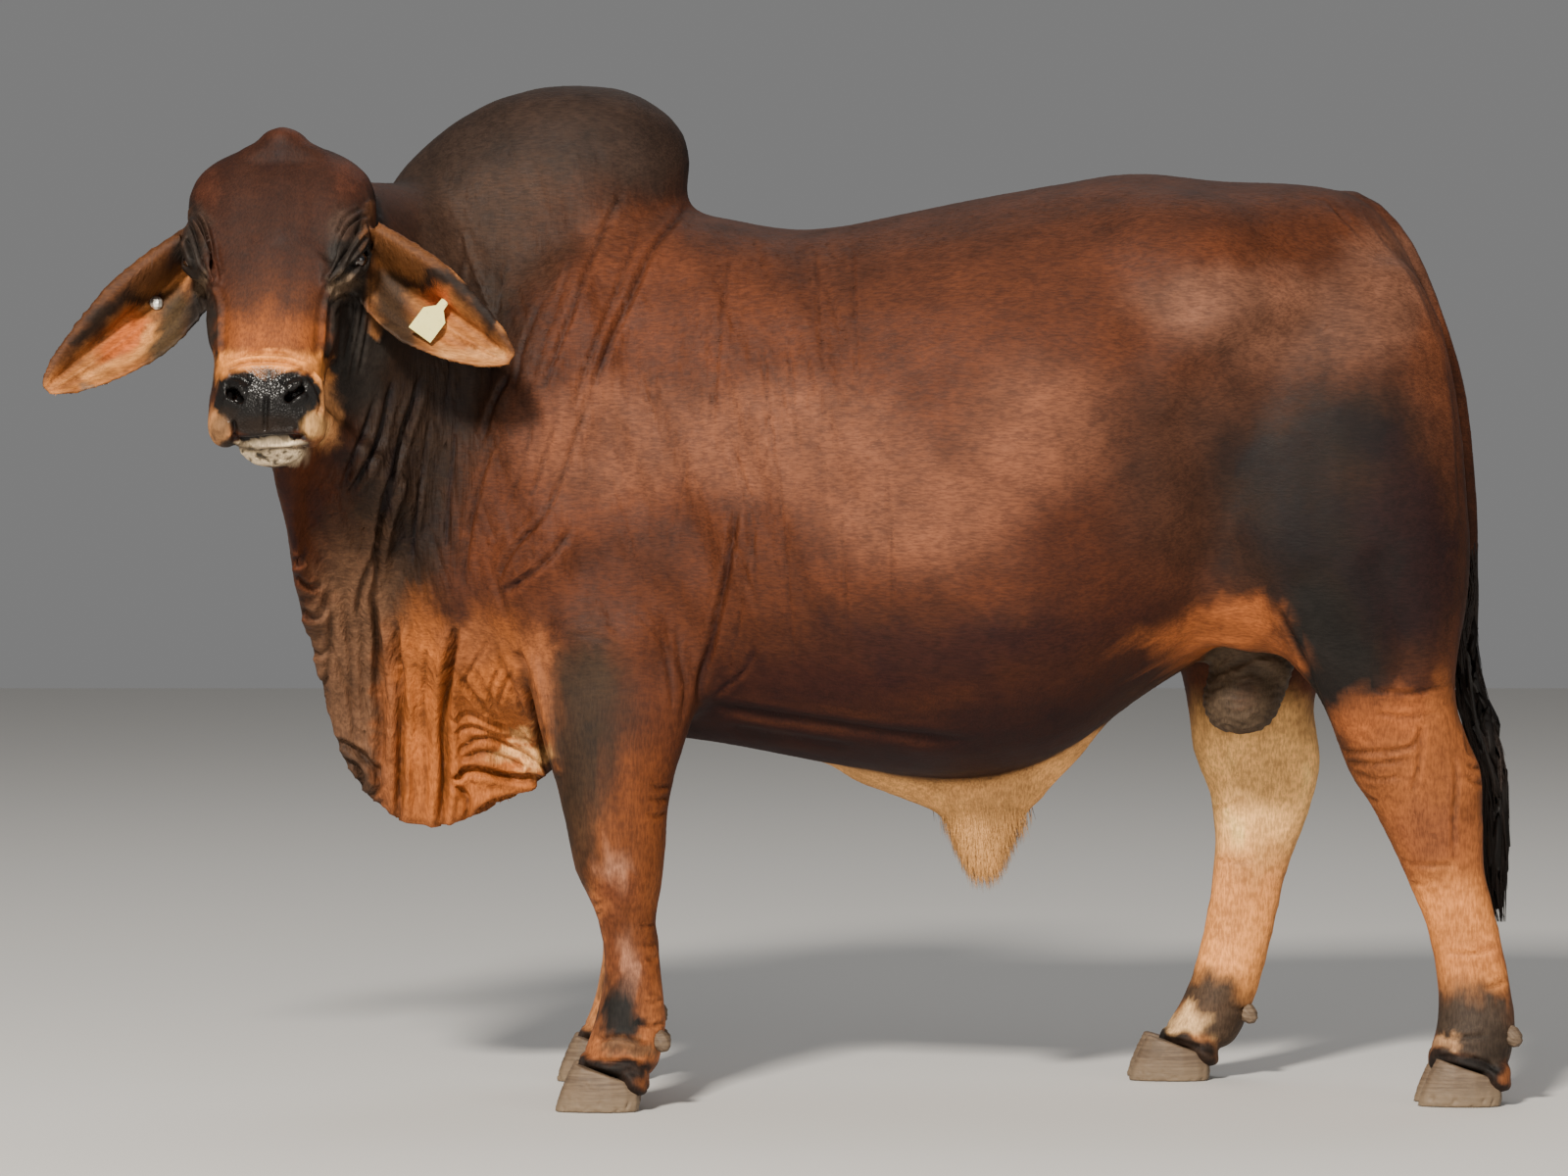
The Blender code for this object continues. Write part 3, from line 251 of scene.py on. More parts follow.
class Links:
    """Which corners of a mesh are joined by edges."""

    def __init__(self, item):
        ends = np.empty(len(item.data.edges) * 2, dtype=np.int32)
        item.data.edges.foreach_get("vertices", ends)
        self.one, self.two = ends.reshape(-1, 2).T
        self.count = len(item.data.vertices)
        both = np.concatenate((self.one, self.two))
        self.number = np.maximum(np.bincount(both, minlength=self.count), 1)

    def mean(self, values):
        """The mean of each corner's neighbours."""
        total = np.empty_like(values)
        for axis in range(values.shape[1]):
            row = values[:, axis]
            total[:, axis] = np.bincount(self.one, row[self.two], self.count)
            total[:, axis] += np.bincount(self.two, row[self.one], self.count)
        return total / self.number[:, None]


def evened(item, rounds, weight=None):
    """Smooth an object's facets away without shrinking it."""
    links = Links(item)
    points = places(item)
    share = 1.0 if weight is None else weight[:, None]
    for _ in range(rounds):
        for pull in (0.52, -0.50):
            points += share * pull * (links.mean(points) - points)
    place(item, points)


# Shapes of fields over space


def smooth_step(value, low, high):
    """0 below low, 1 above high, and a soft rise between."""
    t = np.clip((value - low) / (high - low), 0.0, 1.0)
    return t * t * (3.0 - 2.0 * t)


class Ripple:
    """Soft seeded noise over space, a sum of waves with random directions."""

    def __init__(self, size, seed, stretch=(1.0, 1.0, 1.0)):
        draw = np.random.default_rng(seed)
        way = draw.normal(size=(WAVES, 3))
        way /= np.linalg.norm(way, axis=1)[:, None]
        pace = draw.uniform(0.6, 1.5, size=(WAVES, 1))
        self.way = way * pace * 2 * math.pi / size / np.array(stretch)
        self.start = draw.uniform(0.0, 2 * math.pi, size=WAVES)

    def __call__(self, points):
        total = np.zeros(len(points))
        for way, start in zip(self.way, self.start):
            total += np.sin(points @ way + start)
        return total / math.sqrt(len(self.start) / 2)


def off_line(points, line):
    """How far points lie from a line of points, and where along it from 0 to 1."""
    line = np.array(line, dtype=float)
    best = np.full(len(points), np.inf)
    where = np.zeros(len(points))
    lengths = np.linalg.norm(np.diff(line, axis=0), axis=1)
    run = np.concatenate(([0.0], np.cumsum(lengths))) / lengths.sum()
    for i, (start, end) in enumerate(zip(line, line[1:])):
        step = end - start
        t = np.clip(((points - start) @ step) / (step @ step), 0.0, 1.0)
        gap = np.linalg.norm(points - start - t[:, None] * step, axis=1)
        near = gap < best
        best[near] = gap[near]
        where[near] = (run[i] + t * (run[i + 1] - run[i]))[near]
    return best, where


def curve_through(rows, steps):
    """Points run through by a smooth curve."""
    table = np.array(rows, dtype=float)
    padded = np.vstack((2 * table[0] - table[1], table, 2 * table[-1] - table[-2]))
    out = []
    for i in range(1, len(padded) - 2):
        before, start, end, after = padded[i - 1 : i + 3]
        for t in np.arange(steps) / steps:
            bend = 2 * before - 5 * start + 4 * end - after
            curl = 3 * start - before - 3 * end + after
            out.append(0.5 * (2 * start + (end - before) * t + bend * t**2 + curl * t**3))
    out.append(table[-1])
    return np.array(out)


# Folds of the hide: how wide in the picture, how deep in millimetres, and the line of the crease.
# A negative depth raises a ridge. Lines are places in the picture, and the right side mirrors them.
NECK_FOLDS = (
    (3.2, 5.0, ((705, 208), (666, 254), (644, 302), (622, 351), (605, 399))),
    (2.6, 3.5, ((637, 191), (608, 254), (581, 324), (550, 411))),
    (2.4, 2.6, ((655, 225), (628, 300), (600, 370), (585, 420))),
    (2.6, 3.0, ((604, 398), (590, 440), (572, 490), (552, 530), (520, 562), (505, 600))),
    (2.8, 5.0, ((584, 538), (562, 568), (530, 594), (508, 606))),
    (2.2, 3.0, ((548, 535), (524, 560), (506, 590))),
    (2.2, 2.6, ((566, 432), (550, 486), (540, 510))),
    (2.2, 2.6, ((542, 430), (535, 470), (524, 500), (512, 520))),
    (2.4, 3.2, ((503, 448), (488, 500), (478, 545), (472, 600))),
    (2.2, 2.6, ((466, 430), (459, 500), (455, 560))),
    (2.2, 3.0, ((440, 425), (432, 480), (424, 530), (420, 580))),
    (3.4, 9.0, ((430, 385), (420, 420), (408, 455), (398, 492), (388, 540), (384, 600))),
    (3.0, 7.0, ((402, 385), (392, 430), (374, 478), (356, 505))),
    (2.6, 6.0, ((385, 400), (372, 440), (360, 470), (350, 500))),
    (2.6, 5.0, ((412, 470), (396, 520), (380, 570), (368, 600), (362, 640))),
    (2.4, 4.0, ((520, 380), (500, 420), (492, 450))),
    (2.2, 2.4, ((555, 300), (535, 350), (525, 400))),
    (2.2, 2.2, ((520, 260), (505, 330), (498, 400))),
    (2.2, 2.2, ((480, 240), (470, 300), (462, 360), (455, 420))),
    (2.0, 2.0, ((590, 250), (560, 330), (540, 400))),
    (2.2, 2.0, ((745, 260), (735, 330), (728, 400), (722, 430))),
    (2.0, 1.8, ((830, 250), (836, 310), (840, 380))),
    (2.0, 1.6, ((868, 240), (872, 320), (874, 400))),
    (2.0, 2.0, ((803, 350), (810, 420), (815, 460))),
    (2.0, 1.8, ((776, 340), (784, 420), (792, 480))),
    (2.2, 2.0, ((745, 450), (760, 500), (768, 560), (772, 600))),
    (2.0, 1.6, ((700, 470), (690, 520), (684, 560))),
    (3.4, 7.0, ((752, 520), (742, 580), (733, 622), (725, 660), (716, 690), (714, 720))),
    (2.0, 1.8, ((775, 520), (762, 580), (752, 640), (740, 690))),
    (2.4, 2.4, ((772, 660), (760, 685), (742, 700), (728, 712))),
    (2.0, 1.6, ((792, 480), (800, 560), (806, 640), (812, 690))),
    (2.0, 1.4, ((858, 520), (862, 600), (866, 680))),
    (2.0, 1.3, ((905, 480), (910, 560), (912, 640))),
    (2.4, 2.4, ((690, 640), (694, 672), (700, 705), (694, 740))),
    (2.0, 1.6, ((640, 620), (672, 650), (684, 690), (686, 730))),
    (2.0, 1.4, ((545, 646), (572, 634), (606, 632), (640, 646))),
    (2.0, 1.4, ((555, 660), (580, 650), (610, 650), (632, 662))),
)
DEWLAP_FOLDS = (
    (3.0, 3.0, ((336, 600), (338, 650), (332, 700), (330, 745))),
    (2.6, 2.4, ((352, 600), (357, 660), (359, 720), (362, 760))),
    (2.4, 1.8, ((366, 600), (370, 660), (372, 720), (374, 765))),
    (3.4, 10.0, ((379, 600), (385, 650), (384, 700), (386, 750), (384, 800))),
    (2.6, 5.0, ((392, 640), (391, 700), (392, 750), (390, 790))),
    (3.6, 12.0, ((402, 632), (408, 690), (409, 750), (408, 800), (405, 842))),
    (2.2, 2.5, ((420, 630), (414, 700), (418, 770), (424, 820))),
    (2.2, 2.5, ((436, 640), (432, 710), (434, 780), (432, 830))),
    (4.0, 15.0, ((464, 640), (457, 690), (453, 740), (454, 790), (448, 850))),
    (3.0, 7.0, ((334, 757), (350, 760), (370, 772), (383, 790), (384, 806), (372, 818))),
    (2.6, 6.0, ((347, 776), (362, 782), (368, 796), (360, 806), (348, 800))),
    (2.6, 4.0, ((346, 800), (362, 826), (378, 826), (390, 815))),
    (2.2, 3.6, ((466, 680), (476, 704), (498, 720))),
    (2.2, 3.6, ((472, 692), (490, 720), (512, 736))),
    (2.0, 3.0, ((484, 684), (496, 706), (514, 728))),
    (2.0, 3.0, ((510, 680), (499, 708), (508, 730))),
    (2.0, 3.0, ((526, 680), (514, 702), (506, 722))),
    (2.0, 3.0, ((498, 652), (484, 676), (470, 700))),
    (2.2, 3.4, ((504, 656), (516, 690), (530, 716), (548, 748))),
    (2.0, 3.0, ((530, 718), (538, 736), (550, 752))),
    (2.4, 5.0, ((458, 738), (476, 728), (498, 736), (522, 746), (552, 760))),
    (2.2, 4.0, ((460, 748), (482, 742), (506, 750), (532, 754), (554, 766))),
    (2.4, 5.0, ((466, 768), (486, 754), (508, 756), (534, 770), (552, 782), (562, 794))),
    (2.2, 4.0, ((470, 776), (490, 768), (512, 772), (540, 788))),
    (3.4, 12.0, ((458, 800), (474, 787), (496, 788), (520, 794), (546, 795), (568, 800))),
    (2.6, 6.0, ((456, 800), (470, 806), (477, 820), (474, 840))),
    (3.6, 9.0, ((480, 840), (500, 823), (530, 816), (560, 812))),
    (4.0, 14.0, ((525, 665), (538, 692), (547, 726), (554, 760), (562, 795))),
    (3.0, 8.0, ((293, 572), (303, 576), (312, 570))),
    (3.0, 8.0, ((306, 622), (318, 630), (330, 622), (334, 606))),
    (2.6, 5.0, ((300, 590), (316, 600), (330, 596))),
    (2.4, 4.0, ((314, 660), (326, 668), (336, 660))),
    (2.4, 4.0, ((318, 690), (328, 698), (334, 690))),
)
LEG_FOLDS = (
    (2.0, 2.6, ((664, 800), (672, 804), (684, 803))),
    (2.0, 2.6, ((662, 814), (672, 817), (684, 815))),
    (2.0, 2.6, ((660, 830), (670, 833), (682, 830))),
    (1.8, 2.6, ((652, 943), (660, 946), (670, 944))),
    (1.8, 2.0, ((655, 964), (664, 966), (671, 962))),
    (1.8, 2.0, ((658, 978), (665, 980), (672, 976))),
    (2.0, 3.0, ((650, 1045), (664, 1048), (680, 1044))),
    (1.8, 2.0, ((656, 1022), (666, 1024), (678, 1020))),
    (1.8, 2.4, ((598, 918), (606, 924), (614, 920))),
    (1.8, 2.4, ((598, 928), (606, 934), (614, 930))),
    (2.6, 3.0, ((1210, 700), (1290, 668), (1330, 690), (1345, 725))),
    (2.6, 3.5, ((1300, 612), (1316, 640), (1334, 676), (1350, 720), (1362, 760))),
    (2.4, 3.0, ((1360, 766), (1400, 768), (1440, 763), (1452, 745))),
    (2.0, 2.2, ((1366, 776), (1400, 780), (1438, 776))),
    (2.2, 3.2, ((1376, 795), (1394, 812), (1408, 820))),
    (2.0, 2.4, ((1384, 788), (1404, 796), (1430, 792))),
    (2.0, 2.2, ((1400, 705), (1440, 708), (1480, 700))),
    (2.0, 2.0, ((1402, 728), (1440, 732), (1476, 726))),
    (2.4, 3.4, ((1452, 740), (1449, 780), (1442, 810))),
    (2.4, 3.4, ((1497, 745), (1500, 765), (1508, 770), (1518, 766))),
    (2.2, 3.4, ((1498, 780), (1508, 784), (1520, 778))),
    (2.2, 3.4, ((1500, 792), (1508, 800), (1518, 795))),
    (2.2, 2.8, ((1484, 770), (1488, 800), (1484, 840), (1486, 880))),
    (2.0, 2.4, ((1426, 876), (1450, 884), (1490, 882))),
    (1.8, 2.0, ((1436, 900), (1450, 903), (1466, 898))),
    (2.0, 2.4, ((1476, 972), (1504, 974), (1532, 966))),
    (2.0, 2.8, ((1516, 1010), (1528, 1006), (1540, 1000))),
    (2.2, 3.0, ((1468, 1056), (1490, 1060), (1520, 1058))),
    (2.4, 4.0, ((1464, 1078), (1490, 1080), (1516, 1086), (1534, 1098))),
    (2.2, 3.6, ((607, 1062), (630, 1060), (655, 1066), (664, 1070))),
    (2.4, 4.0, ((598, 1084), (622, 1086), (648, 1086), (664, 1094))),
)
FAR_LEG_FOLDS = (
    (2.0, 2.4, ((1228, 820), (1245, 824), (1262, 818))),
    (2.0, 2.2, ((1240, 875), (1262, 880), (1284, 876))),
    (2.0, 2.6, ((1258, 1028), (1270, 1032), (1282, 1028))),
    (2.2, 3.0, ((1196, 1060), (1220, 1068), (1244, 1078))),
)
RUMP_FOLDS = (
    (5.0, 6.0, ((718, 718), (767, 729), (849, 741), (931, 753), (990, 757))),
    (4.0, 3.0, ((740, 742), (800, 752), (870, 762))),
    (3.2, 4.0, ((1392, 212), (1412, 240), (1436, 270), (1458, 310), (1472, 350))),
    (2.6, 3.5, ((1352, 200), (1376, 224), (1396, 246))),
    (2.4, 2.6, ((1362, 208), (1372, 222), (1380, 226))),
    (3.0, 3.0, ((1478, 360), (1486, 420), (1490, 480), (1494, 540))),
    (6.0, -4.0, ((1205, 662), (1245, 655), (1300, 680), (1345, 722))),
    (22.0, -9.0, ((1170, 390), (1250, 330), (1330, 300), (1400, 290))),
    (26.0, 7.0, ((1190, 420), (1230, 470), (1230, 540), (1210, 600))),
    (20.0, -7.0, ((1290, 600), (1330, 660), (1370, 730), (1380, 760))),
    (18.0, 6.0, ((1400, 560), (1430, 640), (1440, 700))),
    (18.0, -5.0, ((600, 470), (560, 540), (540, 600))),
    (22.0, 6.0, ((640, 560), (600, 575), (575, 590))),
    (24.0, -8.0, ((560, 640), (620, 650), (680, 640))),
    (20.0, 5.0, ((640, 500), (700, 540), (715, 600))),
)
# Folds of the face and ears, at their own places in the picture
FACE_FOLDS = (
    (2.2, 5.0, ((385, 236), (376, 254), (366, 266), (352, 279), (340, 289))),
    (2.0, 3.6, ((374, 228), (362, 238), (355, 250), (349, 264), (340, 280), (332, 290))),
    (1.9, 3.0, ((381, 219), (366, 224), (355, 234), (347, 250), (342, 266), (334, 280))),
    (2.2, -3.0, ((380, 231), (368, 243), (358, 258), (347, 272))),
    (2.2, -2.6, ((377, 223), (362, 231), (352, 243), (345, 261), (337, 278))),
    (1.6, 1.8, ((370, 212), (352, 222), (344, 238))),
    (2.4, -3.0, ((343, 288), (336, 300), (332, 316), (330, 340), (328, 366))),
    (2.2, 3.2, ((338, 304), (336, 320), (335, 345), (334, 372))),
    (1.6, 2.0, ((340, 312), (346, 304), (356, 300), (362, 302))),
    (1.6, 1.8, ((343, 322), (350, 312), (362, 310))),
    (2.0, -2.0, ((352, 290), (360, 281), (368, 274))),
    (1.8, 2.4, ((364, 300), (361, 330), (354, 360), (350, 390))),
    (1.8, 2.4, ((374, 290), (371, 322), (364, 355), (357, 392))),
    (1.8, 2.2, ((380, 270), (379, 310), (374, 345), (366, 385))),
    (1.6, 1.8, ((350, 330), (347, 356), (345, 380))),
    (2.0, 3.2, ((198, 218), (206, 230), (212, 248), (216, 268), (222, 288))),
    (1.8, 3.0, ((193, 226), (201, 240), (206, 258), (211, 276), (216, 288))),
    (1.8, -2.6, ((196, 222), (204, 236), (209, 254), (213, 272))),
    (2.0, -2.8, ((203, 216), (211, 230), (216, 250), (220, 272), (224, 292))),
    (2.0, 4.0, ((190, 243), (196, 260), (200, 276))),
    (2.4, -3.0, ((213, 292), (221, 300), (225, 316), (224, 345), (225, 368))),
    (2.0, 3.0, ((218, 306), (219, 330), (219, 360))),
    (1.8, 2.0, ((200, 300), (206, 320), (212, 345), (216, 370))),
    (9.0, 1.6, ((262, 160), (256, 200), (258, 250))),
    (9.0, 1.6, ((316, 160), (322, 200), (316, 250))),
    (8.0, -1.6, ((288, 150), (288, 200), (284, 250))),
    (2.0, -2.6, ((226, 374), (246, 367), (272, 365), (298, 367), (318, 374))),
    (1.6, 2.4, ((232, 378), (248, 371), (272, 369), (298, 372), (314, 379))),
    (1.4, 1.6, ((236, 368), (252, 362), (274, 360), (300, 362))),
    (2.0, -2.8, ((318, 378), (328, 390), (334, 404), (339, 420), (338, 436))),
    (1.8, 2.8, ((314, 384), (324, 396), (328, 412), (324, 424))),
    (3.4, -5.0, ((233, 391), (243, 392), (251, 398))),
    (3.4, -5.0, ((309, 389), (300, 392), (292, 398))),
    (3.0, 9.0, ((231, 400), (240, 404), (248, 410))),
    (3.0, 9.0, ((311, 396), (301, 401), (292, 409))),
    (2.2, 3.0, ((272, 404), (271, 422), (271, 440))),
    (2.6, 8.0, ((236, 446), (254, 449), (275, 447), (300, 446), (313, 447))),
    (2.0, 4.0, ((240, 457), (262, 458), (290, 456), (312, 455))),
    (2.2, 4.0, ((238, 428), (240, 440), (238, 452))),
    (2.2, 4.0, ((309, 424), (309, 440), (313, 450))),
    (2.4, -2.4, ((250, 453), (275, 453), (300, 451))),
)


def in_head(points):
    """Points of the drawing in the head's own frame: along, to its left, out."""
    return (points - np.array(HEAD.translation)) @ np.array(HEAD.to_3x3())


def from_eye(own, squash=(1.0, 1.0, 1.0)):
    """How far points of the head's frame lie from the nearer eye, with each axis squashed."""
    folded = np.stack((own[:, 0], np.abs(own[:, 1]), own[:, 2]), axis=1)
    return np.linalg.norm((folded - np.array(EYE)) * squash, axis=1)


def seen(points, mirrored=True):
    """Where points of the drawing lie in the picture, all of them set on the bull's left if mirrored."""
    depth = -np.abs(points[:, 1]) if mirrored else points[:, 1]
    scale = FOCAL_PIXELS / (CAMERA_DISTANCE + depth)
    across = PICTURE_WIDTH / 2 + scale * points[:, 0]
    down = HORIZON - scale * (points[:, 2] - CAMERA_HEIGHT)
    return np.stack((across, down), axis=1)


def pressed(where, folds, mask, size=1.0, widest=99.0):
    """How deep in metres a table of folds presses places of the picture, with a size for each."""
    depth = np.zeros(len(where))
    size = np.broadcast_to(size, len(where))
    for width, deep, line in folds:
        if width > widest:
            continue
        curve = curve_through(line, 4)
        low = curve.min(axis=0) - 4 * width
        high = curve.max(axis=0) + 4 * width
        near = np.nonzero(((where > low) & (where < high)).all(axis=1) & (mask > 0.01))[0]
        if not len(near):
            continue
        gap, along = off_line(where[near], curve)
        ends = np.clip(np.minimum(along, 1 - along) / 0.14, 0.0, 1.0) ** 0.7
        groove = np.exp(-((gap / width) ** 2))
        groove -= 0.4 * np.exp(-(((gap - 2.2 * width) / (1.3 * width)) ** 2))
        depth[near] += 0.001 * size[near] * deep * ends * groove
    return depth * mask


def head_share(points):
    """1 on the head, 0 behind its jaws."""
    own = in_head(points)
    inside = smooth_step(own[:, 2], -0.27, -0.21) * smooth_step(own[:, 0], -0.10, -0.05)
    inside = np.maximum(inside, smooth_step(own[:, 2], -0.17, -0.11) * smooth_step(own[:, 0], -0.26, -0.20))
    inside *= 1 - smooth_step(np.abs(own[:, 1]), 0.19, 0.22)
    return inside * (1 - smooth_step(own[:, 0], 0.60, 0.62))


# Ears: how far the middle sags, the lines from root to tip, and half their widths along them
EAR_SAG = 0.012
EAR_LINES = {
    "left": ((-0.668, -0.385, 1.374), (-0.427, -0.430, 1.199)),
    "right": ((-0.912, -0.375, 1.368), (-1.158, -0.440, 1.152)),
}
EAR_RUNS = (0, 0.12, 0.28, 0.46, 0.64, 0.80, 1)
EAR_WIDTHS = (0.050, 0.060, 0.070, 0.070, 0.058, 0.044, 0.012)


def on_ear(points, side):
    """Points on an ear: share from root to tip, share across its blade, 1 where on it, and its up."""
    root, tip = (np.array(end) for end in EAR_LINES[side])
    line = tip - root
    run = ((points - root) @ line) / (line @ line)
    middle = root + np.clip(run, -0.2, 1.1)[:, None] * line
    middle[:, 2] -= EAR_SAG * 4 * run * (1 - run)
    up = np.cross(line, (0.0, 1.0, 0.0))
    up *= math.copysign(1.0, up[2]) / np.linalg.norm(up)
    across = ((points - middle) @ up) / np.interp(run, EAR_RUNS, EAR_WIDTHS)
    there = (run > -0.12) & (run < 1.12) & (np.abs(across) < 1.35)
    there &= np.abs(points[:, 1] - middle[:, 1]) < 0.07
    own = in_head(points)
    outside = smooth_step(np.abs(own[:, 1]), 0.132, 0.156)
    return run, across, there * outside * smooth_step(from_eye(own), 0.036, 0.056), up


def heel_bulbs():
    """A soft bulb behind each claw, which closes the gap under the fetlock."""
    whole = bmesh.new()
    for name in FEET:
        low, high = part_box(name)
        middle = Vector((high.x - 0.010, (low.y + high.y) / 2, low.z + 0.048))
        size = Matrix.Diagonal((0.027, 0.46 * (high.y - low.y), 0.029, 1.0))
        stretched = Matrix.Translation(middle) @ size
        bmesh.ops.create_icosphere(whole, subdivisions=3, radius=1.0, matrix=stretched)
    return object_from("heel_bulbs", whole)


def to_claws(points):
    """How far points lie from the nearest claw."""
    trees = []
    for name in FEET:
        corners = [vert.co for vert in nodes[name].data.vertices]
        faces = [tuple(face.vertices) for face in nodes[name].data.polygons]
        trees.append(BVHTree.FromPolygons(corners, faces))
    gaps = np.full(len(points), 1.0)
    for i in np.nonzero(points[:, 2] < 0.17)[0]:
        spot = Vector(points[i])
        gaps[i] = min(tree.find_nearest(spot)[3] for tree in trees)
    return gaps


def build_hide():
    """One skin over all the flesh, smooth and closed, with the face and ears drawn finer."""
    body = copy_of("hide", BODY + LEGS)
    finished(body, "REMESH", mode="VOXEL", voxel_size=FIRST_VOXEL)
    evened(body, 30)
    head = copy_of("head_copy", HEAD_NODES + EARS + ("tail",))
    finished(head, "SUBSURF", levels=1, render_levels=1, subdivision_type="SIMPLE")
    joined(body, [head, heel_bulbs()])
    finished(body, "REMESH", mode="VOXEL", voxel_size=VOXEL)
    evened(body, 10)
    own = in_head(places(body) - SHIFT)
    face = (own[:, 2] > -0.17) & (np.abs(own[:, 1]) < 0.17)
    subdivided(body, face & ((from_eye(own) < 0.11) | (own[:, 0] > 0.33)))
    own = in_head(places(body) - SHIFT)
    evened(body, 4, smooth_step(own[:, 2], -0.20, -0.15) * smooth_step(own[:, 0], -0.05, 0.0))
    crown = smooth_step(own[:, 2], -0.17, -0.12) * (1 - smooth_step(own[:, 0], 0.04, 0.10))
    evened(body, 40, crown * (1 - smooth_step(np.abs(own[:, 1]), 0.12, 0.15)))
    subdivided(body, from_eye(own, (0.7, 1.0, 1.0)) < 0.055)
    return body


def fold_ears(points, normals):
    """Give each ear a fleshy roll under its upper edge, sink what lies under it, and ripple the blade."""
    front = smooth_step(-normals[:, 1], -0.2, 0.5)
    for side in EAR_LINES:
        run, across, there, up = on_ear(points, side)
        near_head = 1 - smooth_step(run, 0.20, 1.0)
        rim = smooth_step(across, 0.30, 0.80)
        roll = front * np.exp(-(((across - 0.66) / 0.24) ** 2))
        hollow = np.exp(-(((across - 0.20) / 0.24) ** 2)) * smooth_step(run, 0.02, 0.15)
        fade = there * (1 - smooth_step(run, 0.88, 1.0))
        forward = (0.004 + 0.009 * near_head) * rim + (0.005 + 0.021 * near_head) * roll
        forward -= (0.004 + 0.013 * near_head) * hollow
        forward += 0.0030 * np.sin(across * 10.0 + 4.0 * run) * smooth_step(-across, -0.2, 0.2)
        forward += 0.0045 * np.exp(-(((across + 0.15) / 0.10) ** 2)) * smooth_step(run, 0.3, 0.5)
        forward += 0.008 * smooth_step(-across, 0.70, 1.0) * smooth_step(run, 0.1, 0.4)
        points[:, 1] -= forward * fade
        drop = front * np.exp(-(((across - 0.46) / 0.15) ** 2)) * (0.003 + 0.010 * near_head)
        points -= np.outer(drop * fade, up)
    return points


def facing_out(points, normals, head, ears):
    """1 where the hide faces to its own side, off the head and ears."""
    return smooth_step(normals[:, 1] * np.sign(points[:, 1]), 0.10, 0.45) * (1 - head) * (1 - ears)


def folds_of(points, normals, head, ears, widest=99.0):
    """How deep the folds press the hide at points of the drawing, without the body's folds past a width."""
    outward = facing_out(points, normals, head, ears)
    where = seen(points)
    near = points[:, 1] < 0.0
    throat = 1.2 + 0.5 * (1 - smooth_step(where[:, 0], 430, 540))
    depth = pressed(where, NECK_FOLDS, outward, throat, widest)
    depth += pressed(where, DEWLAP_FOLDS, outward, 1.6)
    depth += pressed(where, RUMP_FOLDS, outward, 1.0, widest)
    depth += pressed(where, LEG_FOLDS, outward * near, 1.4)
    facing = smooth_step(-normals[:, 1], 0.1, 0.4) * ~near
    depth += pressed(seen(points, False), FAR_LEG_FOLDS, facing, 1.4)
    face = smooth_step(-normals[:, 1], 0.02, 0.25) * head * (1 - ears)
    by_eye = 1 - smooth_step(from_eye(in_head(points)), 0.05, 0.09)
    return depth + pressed(seen(points, False), FACE_FOLDS, face, 1.3 + 0.7 * by_eye, widest)


LOOSE_SKIN = ((470, 420, 130, 260), (620, 420, 140, 220), (760, 420, 120, 230), (380, 600, 90, 200))
# Triangles kept on the smooth body, its folds, the legs, the feet and ears, the head, and muzzle and lids
PART_TRIANGLES = (24000, 34000, 18000, 28000, 22000, 44000)


def shape_hide(hide):
    """Sculpt the hide, sink it by the coat's depth and thin it to its triangles."""
    points = fold_ears(places(hide) - SHIFT, normals_of(hide))
    place(hide, points + SHIFT)
    normals = normals_of(hide)
    head = head_share(points)
    ears = np.maximum(on_ear(points, "left")[2], on_ear(points, "right")[2])
    depth = folds_of(points, normals, head, ears)
    where = seen(points)
    # Loose skin hangs in fine upright folds over neck, shoulders and the front of the barrel
    loose = blobs(where, LOOSE_SKIN) * facing_out(points, normals, head, ears)
    lean = np.stack((points[:, 0] + 0.32 * (points[:, 2] - 1.2), points[:, 1] * 0.3, points[:, 2]), axis=1)
    fine = Ripple(0.030, SEED, (1.0, 4.0, 9.0))(lean)
    coarse = Ripple(0.070, SEED + 1, (1.0, 4.0, 7.0))(lean)
    slack = 1 + 0.5 * (1 - smooth_step(where[:, 0], 430, 560))
    depth += loose * slack * (0.0014 * (1 - np.abs(fine)) ** 2 + 0.0016 * coarse)
    swell = Ripple(0.22, SEED + 2)(points)
    depth += 0.0012 * swell * (1 - head) * (1 - ears)
    low, high = box_of("scrotum")
    bag = inside_box(points + SHIFT, low - 0.01, high + 0.01, 0.02)
    pleat = np.sin(points[:, 2] * 2 * math.pi / 0.013 + 1.6 * Ripple(0.05, SEED + 9)(points))
    depth += 0.0016 * bag * pleat
    gaps = to_claws(points + SHIFT)
    depth -= 0.0035 * np.exp(-(((gaps - 0.011) / 0.006) ** 2))
    depth += 0.0022 * np.exp(-(((gaps - 0.023) / 0.005) ** 2))
    points -= normals * (depth + COAT_DEPTH * (1 - 0.6 * head))[:, None]
    place(hide, points + SHIFT)
    folded = np.abs(depth - 0.0012 * swell) > 0.0007
    own = in_head(points)
    fine = (own[:, 0] > 0.35) & (own[:, 2] > -0.13) | (from_eye(own) < 0.075)
    part = np.full(len(points), 0)
    part[folded | (loose > 0.5)] = 1
    part[points[:, 2] < 0.60] = 2
    part[(points[:, 2] < 0.24) | (ears > 0.3)] = 3
    part[head > 0.3] = 4
    part[(head > 0.3) & fine] = 5
    part[(ears > 0.3) & (head < 0.6)] = 3
    return thinned(hide, part, PART_TRIANGLES)


